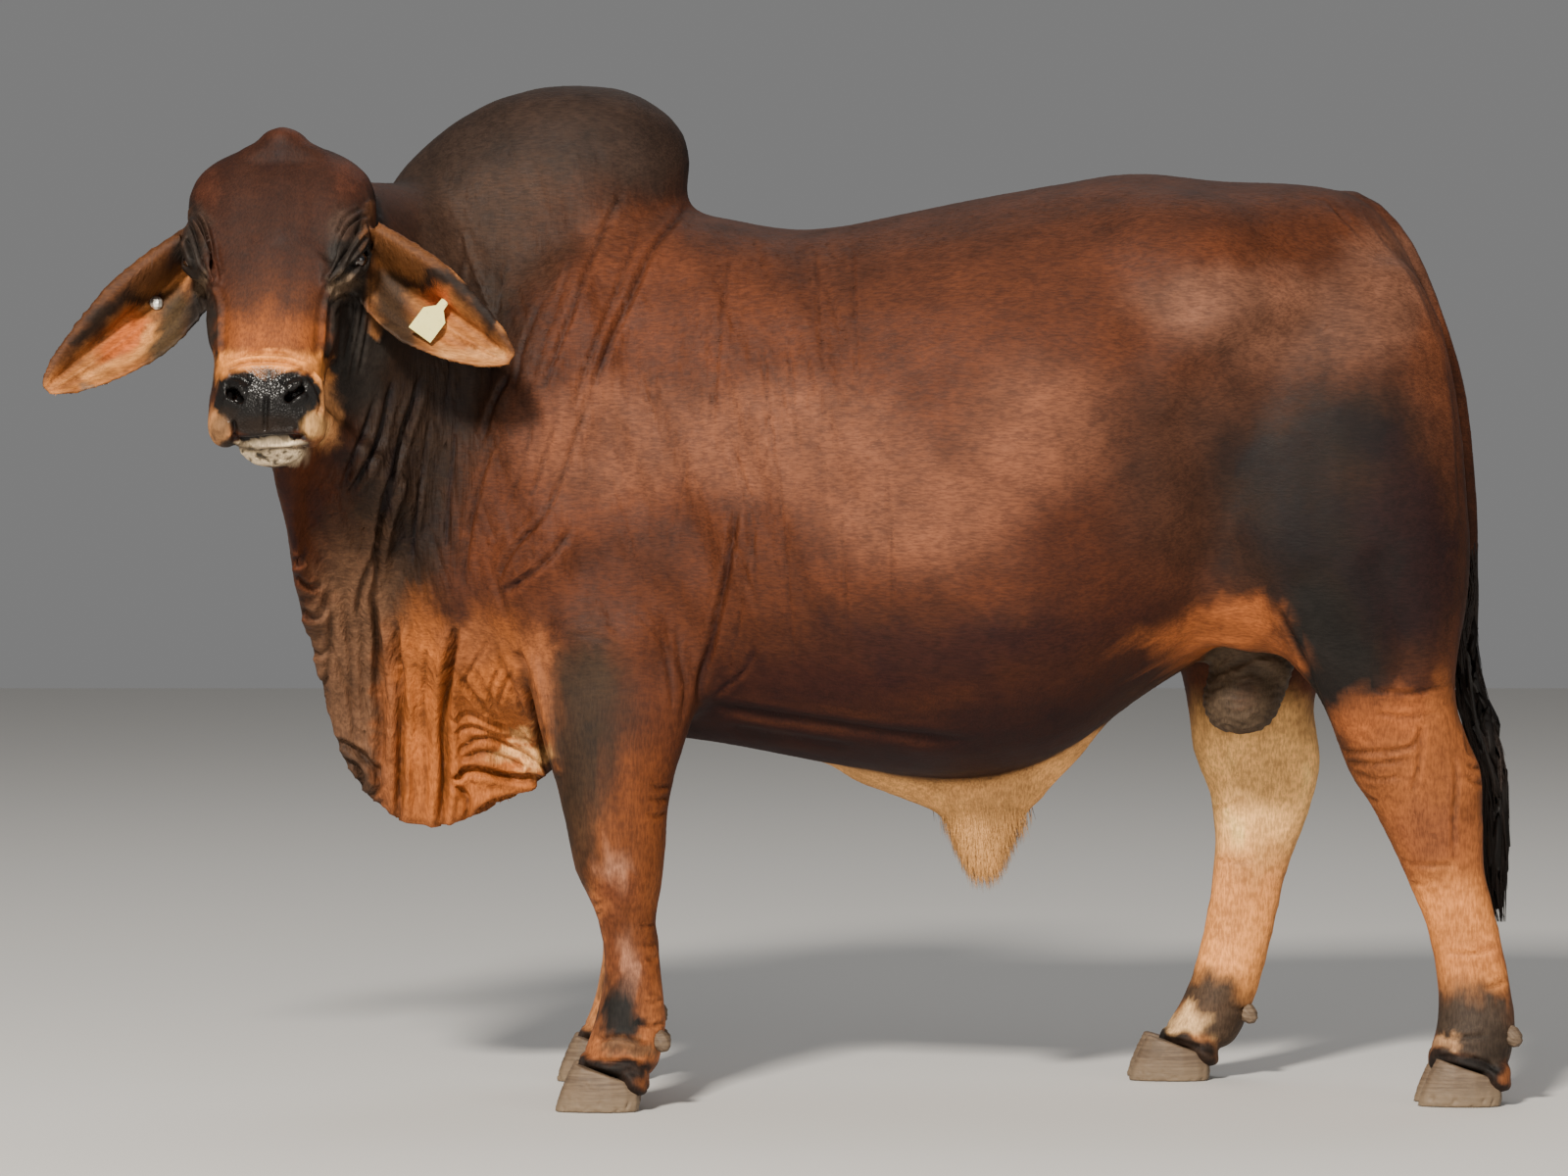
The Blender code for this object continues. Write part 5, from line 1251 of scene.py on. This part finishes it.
# One tuft: across, along, through its thickness, and how far it lifts off the skin
TUFT = np.array(
    (
        (-0.35, 0.0, -2.4, 0.0),
        (0.35, 0.0, -2.4, 0.0),
        (0.0, 0.02, -1.2, 0.0),
        (-0.5, 0.45, -0.5, 0.30),
        (0.5, 0.45, -0.5, 0.30),
        (0.0, 0.43, 0.6, 0.30),
        (0.0, 1.0, 0.0, 1.0),
    )
)
TUFT_FACES = np.array(
    (
        (0, 1, 2),
        (0, 4, 1),
        (0, 3, 4),
        (1, 5, 2),
        (1, 4, 5),
        (2, 3, 0),
        (2, 5, 3),
        (3, 6, 4),
        (4, 6, 5),
        (5, 6, 3),
    )
)
TUFT_PATCH = np.array(
    ((-1.0, -1.0), (1.0, -1.0), (0.0, -0.7), (-0.9, 0.1), (0.9, 0.1), (0.0, 0.35), (0.0, 1.0))
)


def plant(skin, name, count, share, length, width, lift, seed, lie=None):
    """A piece of coat: solid tufts planted on the hide where a share of the ground allows."""
    draw = np.random.default_rng(seed)
    middles = skin.points[skin.tris].mean(axis=1) - SHIFT
    facing = skin.normals[skin.tris].mean(axis=1)
    weight = skin.area * share(middles, facing)
    chosen = draw.choice(len(weight), size=count, p=weight / weight.sum())
    mix = draw.dirichlet((1.0, 1.0, 1.0), size=count)[:, :, None]
    corners = skin.tris[chosen]
    roots = (skin.points[corners] * mix).sum(axis=1)
    normals = (skin.normals[corners] * mix).sum(axis=1)
    normals /= np.linalg.norm(normals, axis=1)[:, None]
    tone = (skin.tone[corners] * mix).sum(axis=1)
    local = roots - SHIFT
    way = lie_of_hair(local, normals) if lie is None else lie(local, normals)
    side = np.cross(way, normals)
    sway = draw.normal(0, 0.16, count)[:, None]
    way = way + side * sway
    way /= np.linalg.norm(way, axis=1)[:, None]
    side = np.cross(way, normals)
    sizes = draw.uniform(0.7, 1.3, count)
    long = (length(local) if callable(length) else length) * sizes
    wide = width * draw.uniform(0.75, 1.25, count)
    rise = lift * sizes * draw.uniform(0.5, 1.4, count)
    if lie is None:
        way = skin.down_to(roots + way * long[:, None]) - roots
        way /= np.maximum(np.linalg.norm(way, axis=1), 1e-6)[:, None]
    shape = TUFT[None, :, :]
    points = roots[:, None, :] + side[:, None, :] * (shape[:, :, 0] * wide[:, None])[:, :, None]
    points += way[:, None, :] * (shape[:, :, 1] * long[:, None])[:, :, None]
    through = 0.22 * shape[:, :, 2] * wide[:, None] + shape[:, :, 3] * rise[:, None]
    points += normals[:, None, :] * through[:, :, None]
    faces = (TUFT_FACES[None, :, :] + 7 * np.arange(count)[:, None, None]).reshape(-1, 3)
    coat = object_of_arrays(name, points.reshape(-1, 3), faces)
    tint = 0.94 + 0.09 * draw.normal(0, 1, (count, 1, 1)).clip(-1.6, 1.6) + 0.12 * shape[:, :, 1:2]
    paint(coat, "tone", np.clip((tone[:, None, :] * tint).reshape(-1, 3), 0.003, 0.9))
    flat = skin.map_places(roots)[:, None, :] + 0.0015 * TUFT_PATCH[None, :, :]
    layer = coat.data.uv_layers.new(name="OFBake")
    layer.data.foreach_set("uv", flat.reshape(-1, 2)[faces.ravel()].astype(np.float32).ravel())
    coat.data.shade_smooth()
    round_off = normals[:, None, :] + 0.35 * shape[:, :, 0:1] * side[:, None, :]
    coat.data.normals_split_custom_set_from_vertices(round_off.reshape(-1, 3).astype(np.float32))
    coat.data.materials.append(hair_finish(name, 0.58))
    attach(coat, "root")


def ear_parts(points):
    """Run, reach across and share on either ear, for points of the drawing."""
    best = [np.zeros(len(points)) for _ in range(3)]
    for side in EAR_LINES:
        run, across, there, _ = on_ear(points, side)
        more = there > best[2]
        for store, value in zip(best, (run, across, there)):
            store[more] = value[more]
    return best


def build_coat(hide):
    """The coat's tufts: flat and fine on the body, longer where the hair breaks the form."""
    skin = Skin(hide)

    def bare(points, normals):
        face = seen(points, False)
        wet = blobs(face, ((272, 408, 60, 42), (272, 440, 44, 24))) * head_share(points)
        lids = blobs(face, ((364, 262, 22, 30), (196, 262, 12, 30))) * head_share(points)
        return np.clip(1 - 1.4 * wet - 1.2 * lids, 0.0, 1.0)

    def between(low, high):
        def share(points, normals):
            ears = ear_parts(points)[2]
            found = smooth_step(points[:, 0], low - 0.05, low + 0.05)
            found *= 1 - smooth_step(points[:, 0], high - 0.05, high + 0.05)
            crease = folds_of(points, normals, head_share(points), ears, 6.0)
            found *= 1 - smooth_step(crease, 0.0003, 0.0015)
            return found * (1 - head_share(points)) * (1 - ears) * smooth_step(points[:, 2], 0.42, 0.50)

        return share

    def legs(points, normals):
        low = smooth_step(-points[:, 2], -0.50, -0.42) * smooth_step(points[:, 2], 0.055, 0.075)
        back = 1 + 2.5 * smooth_step(normals[:, 0], 0.2, 0.7) * smooth_step(-points[:, 2], -0.20, -0.15)
        return low * back * (1 - smooth_step(np.abs(points[:, 0] - 0.27), 0.20, 0.24))

    def head(points, normals):
        return head_share(points) * (1 - ear_parts(points)[2]) * bare(points, normals)

    def ears(points, normals):
        _, across, there = ear_parts(points)
        return there * (0.5 + 0.5 * smooth_step(np.abs(across), 0.78, 0.98))

    def ear_fringe(points, normals):
        run, across, there = ear_parts(points)
        band = np.exp(-(((across - 0.46) / 0.16) ** 2)) * (1 - smooth_step(run, 0.26, 0.46))
        return there * band * smooth_step(-normals[:, 1], -0.1, 0.2) * smooth_step(run, 0.04, 0.10)

    def fringe_lie(points, normals):
        way = np.tile(np.array((0.0, -0.35, -1.0)), (len(points), 1))
        way[:, 0] += 0.5 * np.sign(points[:, 0] + 0.80)
        return way / np.linalg.norm(way, axis=1)[:, None]

    def sheath(points, normals):
        near = 1 - smooth_step(np.abs(points[:, 0] - 0.33), 0.05, 0.09)
        return near * (1 - smooth_step(points[:, 2], 0.42, 0.50))

    def hang(points, normals):
        way = np.tile(np.array((0.12, 0.0, -1.0)), (len(points), 1))
        way -= 0.25 * normals * (way * normals).sum(axis=1)[:, None]
        return way / np.linalg.norm(way, axis=1)[:, None]

    def edges(points, normals):
        under = smooth_step(-normals[:, 2], 0.35, 0.85) * smooth_step(points[:, 2], 0.40, 0.46)
        crest = smooth_step(normals[:, 2], 0.70, 0.95) * smooth_step(points[:, 2], 1.25, 1.35)
        throat = smooth_step(-normals[:, 0], 0.6, 0.9) * smooth_step(points[:, 2], 0.40, 0.50)
        body = (1 - head_share(points)) * (1 - ear_parts(points)[2])
        return body * np.maximum(np.maximum(under, 0.8 * crest), 0.8 * throat * (points[:, 0] < -0.5))

    def leg_length(points):
        feather = smooth_step(-points[:, 2], -0.16, -0.10)
        return 0.009 + 0.007 * feather

    # Each piece of coat: name, tufts, where, length, width, lift, and how it hangs if not flat
    pieces = (
        ("coat_front", 19900, between(-2.0, -0.12), 0.009, 0.0011, 0.0003),
        ("coat_barrel", 19900, between(-0.12, 0.55), 0.010, 0.0012, 0.0004),
        ("coat_rear", 19900, between(0.55, 2.0), 0.010, 0.0012, 0.0004),
        ("coat_legs", 19900, legs, leg_length, 0.0012, 0.0007),
        ("coat_head", 19900, head, 0.0065, 0.0009, 0.0004),
        ("coat_ears", 17000, ears, 0.0050, 0.0007, 0.0003),
        ("coat_ear_fringe", 3600, ear_fringe, 0.020, 0.0009, 0.0020, fringe_lie),
        ("coat_sheath", 2400, sheath, 0.034, 0.0012, 0.003, hang),
        ("coat_edges", 14000, edges, 0.0075, 0.0008, 0.0006),
    )
    for number, (name, count, share, length, width, lift, *lie) in enumerate(pieces):
        plant(skin, name, count, share, length, width, lift, SEED + 50 + number, *lie)


# Materials


class Value:
    """A socket of a material, with sums written as they are read."""

    def __init__(self, maker, socket):
        self.maker = maker
        self.socket = socket

    def sum(self, operation, *others):
        """A Math node over this value and others."""
        inputs = {i: other for i, other in enumerate((self, *others))}
        return self.maker.add("ShaderNodeMath", {"operation": operation}, inputs)

    def __add__(self, other):
        return self.sum("ADD", other)

    def __sub__(self, other):
        return self.sum("SUBTRACT", other)

    def __mul__(self, other):
        return self.sum("MULTIPLY", other)

    def __pow__(self, other):
        return self.sum("POWER", other)

    __radd__ = __add__
    __rmul__ = __mul__

    def __rsub__(self, other):
        return self.maker.add("ShaderNodeMath", {"operation": "SUBTRACT"}, {0: other, 1: self})


class Finish:
    """A Principled material and the nodes that feed it."""

    def __init__(self, name, **fixed):
        self.material = bpy.data.materials.new(name)
        self.material.use_nodes = True
        self.tree = self.material.node_tree
        self.shader = self.tree.nodes["Principled BSDF"]
        for socket, value in fixed.items():
            name = socket.replace("_", " ").title().replace("Ior", "IOR")
            self.shader.inputs[name].default_value = value

    def add(self, kind, settings=None, inputs=None, output=0):
        """A node of a kind, its settings made first, then the values or links of its sockets."""
        node = self.tree.nodes.new(kind)
        for name, value in (settings or {}).items():
            setattr(node, name, value)
        for name, value in (inputs or {}).items():
            self.feed(node.inputs[name], value)
        return Value(self, node.outputs[output])

    def feed(self, socket, value):
        """Link a value into a socket, or set it."""
        if isinstance(value, Value):
            self.tree.links.new(value.socket, socket)
        else:
            socket.default_value = value

    def attribute(self, name):
        """A colour stored on the piece."""
        return self.add("ShaderNodeAttribute", {"attribute_name": name})

    def place(self, scale=(1.0, 1.0, 1.0)):
        """Where a point lies on the piece, stretched by a scale."""
        where = self.add("ShaderNodeTexCoord", output=3)
        return self.add("ShaderNodeMapping", {}, {"Vector": where, "Scale": scale})

    def noise(self, scale, detail, stretch=(1.0, 1.0, 1.0)):
        """Noise around a half, finer with a larger scale."""
        inputs = {"Vector": self.place(stretch), "Scale": scale, "Detail": detail, "Roughness": 0.55}
        return self.add("ShaderNodeTexNoise", {}, inputs)

    def mix(self, factor, one, two, blend="MIX"):
        """Two colours mixed by a factor."""
        settings = {"data_type": "RGBA", "blend_type": blend}
        return self.add("ShaderNodeMix", settings, {0: factor, 6: one, 7: two}, output=2)

    def ramp(self, value, low, high):
        """A value stretched from low to high into 0 to 1, softly."""
        inputs = {"Value": value, "From Min": low, "From Max": high}
        return self.add("ShaderNodeMapRange", {"interpolation_type": "SMOOTHSTEP"}, inputs)

    def bump(self, height, distance, strength):
        """A normal raised by a height."""
        inputs = {"Height": height, "Distance": distance, "Strength": strength}
        return self.add("ShaderNodeBump", {}, inputs)


def hide_finish():
    """Short hair over loose skin, bare and wet on the nose."""
    look = Finish("bull_hide", specular_ior_level=0.17)
    tone = look.attribute("tone")
    feel = look.add("ShaderNodeSeparateColor", {}, {"Color": look.attribute("feel")})
    loose, wet, upright = (Value(look, feel.socket.node.outputs[i]) for i in range(3))
    along = look.noise(330.0, 2.0, (0.22, 1.0, 1.0))
    down = look.noise(330.0, 2.0, (1.0, 1.0, 0.22))
    grain = along * (1 - upright) + down * upright
    clumps = look.noise(95.0, 3.0, (0.45, 1.0, 0.8))
    fleck = look.ramp(grain * 0.6 + clumps * 0.4, 0.34, 0.66)
    darker = look.mix(1.0, tone, (0.66, 0.62, 0.60, 1.0), "MULTIPLY")
    lighter = look.mix(1.0, tone, (1.22, 1.20, 1.16, 1.0), "MULTIPLY")
    coat = look.mix(fleck, darker, lighter)
    look.feed(look.shader.inputs["Base Color"], look.mix(wet, coat, tone))
    look.feed(look.shader.inputs["Roughness"], 0.66 - 0.42 * wet + 0.2 * (clumps - 0.5))
    wrinkle = look.noise(74.0, 2.5, (1.0, 1.0, 0.13))
    pebble = look.add("ShaderNodeTexVoronoi", {}, {"Vector": look.place(), "Scale": 260.0})
    height = grain * 0.35 * (1 - wet) + clumps * 0.25 + wrinkle * loose * 5.0 + pebble * wet * 0.6
    look.feed(look.shader.inputs["Normal"], look.bump(height, 0.0016, 0.8))
    return look.material


def hair_finish(name, roughness):
    """Hair in the tone that is stored on it."""
    look = Finish(name, roughness=roughness, specular_ior_level=0.17)
    tone = look.attribute("tone")
    streak = look.ramp(look.noise(420.0, 2.0, (0.3, 1.0, 0.6)), 0.3, 0.7)
    deep = look.mix(1.0, tone, (0.80, 0.78, 0.76, 1.0), "MULTIPLY")
    pale = look.mix(1.0, tone, (1.15, 1.14, 1.12, 1.0), "MULTIPLY")
    look.feed(look.shader.inputs["Base Color"], look.mix(streak, deep, pale))
    return look.material


def horn_finish():
    """Grey-tan horn with growth rings, scuffed and dusty towards the ground."""
    look = Finish("claw_horn", specular_ior_level=0.35)
    where = look.add("ShaderNodeTexCoord", output=3)
    split = look.add("ShaderNodeSeparateXYZ", {}, {"Vector": where})
    height = Value(look, split.socket.node.outputs[2])
    rings = look.noise(70.0, 3.0, (0.25, 0.25, 3.6))
    smear = look.noise(38.0, 4.0)
    low = 1 - look.ramp(height, 0.004, 0.045)
    horn = look.mix(look.ramp(rings, 0.3, 0.7), (0.095, 0.062, 0.039, 1.0), (0.165, 0.112, 0.069, 1.0))
    horn = look.mix(look.ramp(smear, 0.45, 0.75) * 0.5, horn, (0.066, 0.047, 0.033, 1.0))
    horn = look.mix(low * 0.5, horn, (0.215, 0.155, 0.096, 1.0))
    look.feed(look.shader.inputs["Base Color"], horn)
    look.feed(look.shader.inputs["Roughness"], 0.62 + 0.2 * (smear - 0.5))
    fine = look.noise(240.0, 3.0, (0.5, 0.5, 2.5))
    look.feed(look.shader.inputs["Normal"], look.bump(rings * 0.7 + fine * 0.4, 0.0009, 0.8))
    return look.material


def eye_finish(side):
    """A dark wet eye with a level pupil."""
    look = Finish("eye_" + side, roughness=0.06, coat_weight=1.0, coat_roughness=0.03)
    split = look.add("ShaderNodeSeparateColor", {}, {"Color": look.attribute("aim")})
    across, down, front = (Value(look, split.socket.node.outputs[i]) for i in range(3))
    x = (across - 0.5) * 2.0
    y = (down - 0.5) * 2.0
    reach = (x * x + y * y) ** 0.5
    slot = ((x * 0.62) * (x * 0.62) + (y * 1.35) * (y * 1.35)) ** 0.5
    veins = look.noise(900.0, 2.0)
    iris = look.mix(look.ramp(veins, 0.3, 0.7), (0.020, 0.009, 0.004, 1.0), (0.045, 0.020, 0.009, 1.0))
    white = look.mix(look.ramp(veins, 0.4, 0.8), (0.16, 0.110, 0.085, 1.0), (0.10, 0.045, 0.030, 1.0))
    ball = look.mix(look.ramp(reach, 0.62, 0.72), iris, white)
    pupil = 1 - look.ramp(slot, 0.17, 0.21)
    ball = look.mix(pupil, ball, (0.002, 0.002, 0.003, 1.0))
    back = 1 - look.ramp(front, 0.48, 0.52)
    look.feed(look.shader.inputs["Base Color"], look.mix(back, ball, (0.05, 0.02, 0.015, 1.0)))
    return look.material


def tag_finish():
    """Sun-bleached yellow plastic with grime in its pores."""
    look = Finish("ear_tag_plastic", specular_ior_level=0.4, subsurface_weight=0.0)
    fade = look.noise(30.0, 3.0)
    grime = look.ramp(look.noise(140.0, 4.0), 0.56, 0.74)
    plastic = look.mix(fade, (0.70, 0.63, 0.21, 1.0), (0.80, 0.74, 0.32, 1.0))
    look.feed(look.shader.inputs["Base Color"], look.mix(grime * 0.35, plastic, (0.30, 0.24, 0.12, 1.0)))
    look.feed(look.shader.inputs["Roughness"], 0.36 + 0.25 * grime)
    look.feed(look.shader.inputs["Normal"], look.bump(look.noise(320.0, 2.0), 0.0004, 0.5))
    return look.material


def stud_finish():
    """Dull pale metal with fine scratches."""
    look = Finish("ear_stud_metal", metallic=1.0)
    wear = look.noise(180.0, 4.0, (0.3, 1.0, 1.0))
    metal = look.mix(wear, (0.46, 0.44, 0.40, 1.0), (0.72, 0.70, 0.66, 1.0))
    look.feed(look.shader.inputs["Base Color"], metal)
    look.feed(look.shader.inputs["Roughness"], 0.24 + 0.3 * wear)
    look.feed(look.shader.inputs["Normal"], look.bump(wear, 0.0003, 0.5))
    return look.material


# Stage

# Each lamp: where it stands, its power, its size and its colour
LAMPS = (
    ((-2.4, -8.3, 6.2), 1950, 1.2, (1.0, 0.93, 0.83)),
    ((6.0, -6.0, 3.0), 90, 4.0, (1.0, 0.97, 0.92)),
    ((-0.5, -9.0, 0.9), 260, 2.4, (1.0, 0.93, 0.84)),
    ((1.0, 4.2, 8.0), 150, 5.0, (1.0, 1.0, 1.0)),
)

def build_stage():
    """A plain pale floor with soft studio light, and the photograph's camera."""
    bpy.ops.mesh.primitive_plane_add(size=30.0, location=(0.0, 0.0, -0.001))
    floor = bpy.context.active_object
    floor.name = "floor"
    pale = Finish("pale_floor", roughness=0.8)
    pale.feed(pale.shader.inputs["Base Color"], (0.62, 0.61, 0.59, 1.0))
    floor.data.materials.append(pale.material)
    for spot, power, size, colour in LAMPS:
        bpy.ops.object.light_add(type="AREA", location=spot)
        lamp = bpy.context.active_object
        lamp.data.energy = power
        lamp.data.size = size
        lamp.data.color = colour
        lamp.rotation_euler = (Vector((0, 0, 0.8)) - Vector(spot)).to_track_quat("-Z", "Y").to_euler()
    world = bpy.data.worlds.new("studio")
    bpy.context.scene.world = world
    world.use_nodes = True
    backdrop = world.node_tree.nodes["Background"]
    backdrop.inputs["Color"].default_value = (0.86, 0.86, 0.86, 1.0)
    backdrop.inputs["Strength"].default_value = 0.24
    tilt = math.radians(90) - math.atan(HORIZON_ABOVE_MIDDLE / FOCAL_PIXELS)
    spot = (ORIGIN.x, ORIGIN.y - CAMERA_DISTANCE, CAMERA_HEIGHT + ORIGIN.z)
    bpy.ops.object.camera_add(location=spot, rotation=(tilt, 0.0, 0.0))
    camera = bpy.context.active_object
    camera.data.sensor_width = 36.0
    camera.data.lens = FOCAL_PIXELS / PICTURE_WIDTH * 36.0
    bpy.context.scene.camera = camera


hide = shape_hide(build_hide())
paint_hide(hide)
hide.data.materials.append(hide_finish())
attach(hide, "root")
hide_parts(*BODY, *LEGS, *HEAD_NODES, *EARS, "tail")
for side in ("left", "right"):
    build_eye(side)
build_claws()
build_switch()
for name, finish in (("ear_tag", tag_finish()), ("ear_stud", stud_finish())):
    for slot in nodes[name].material_slots:
        slot.material = finish
build_coat(hide)
build_stage()
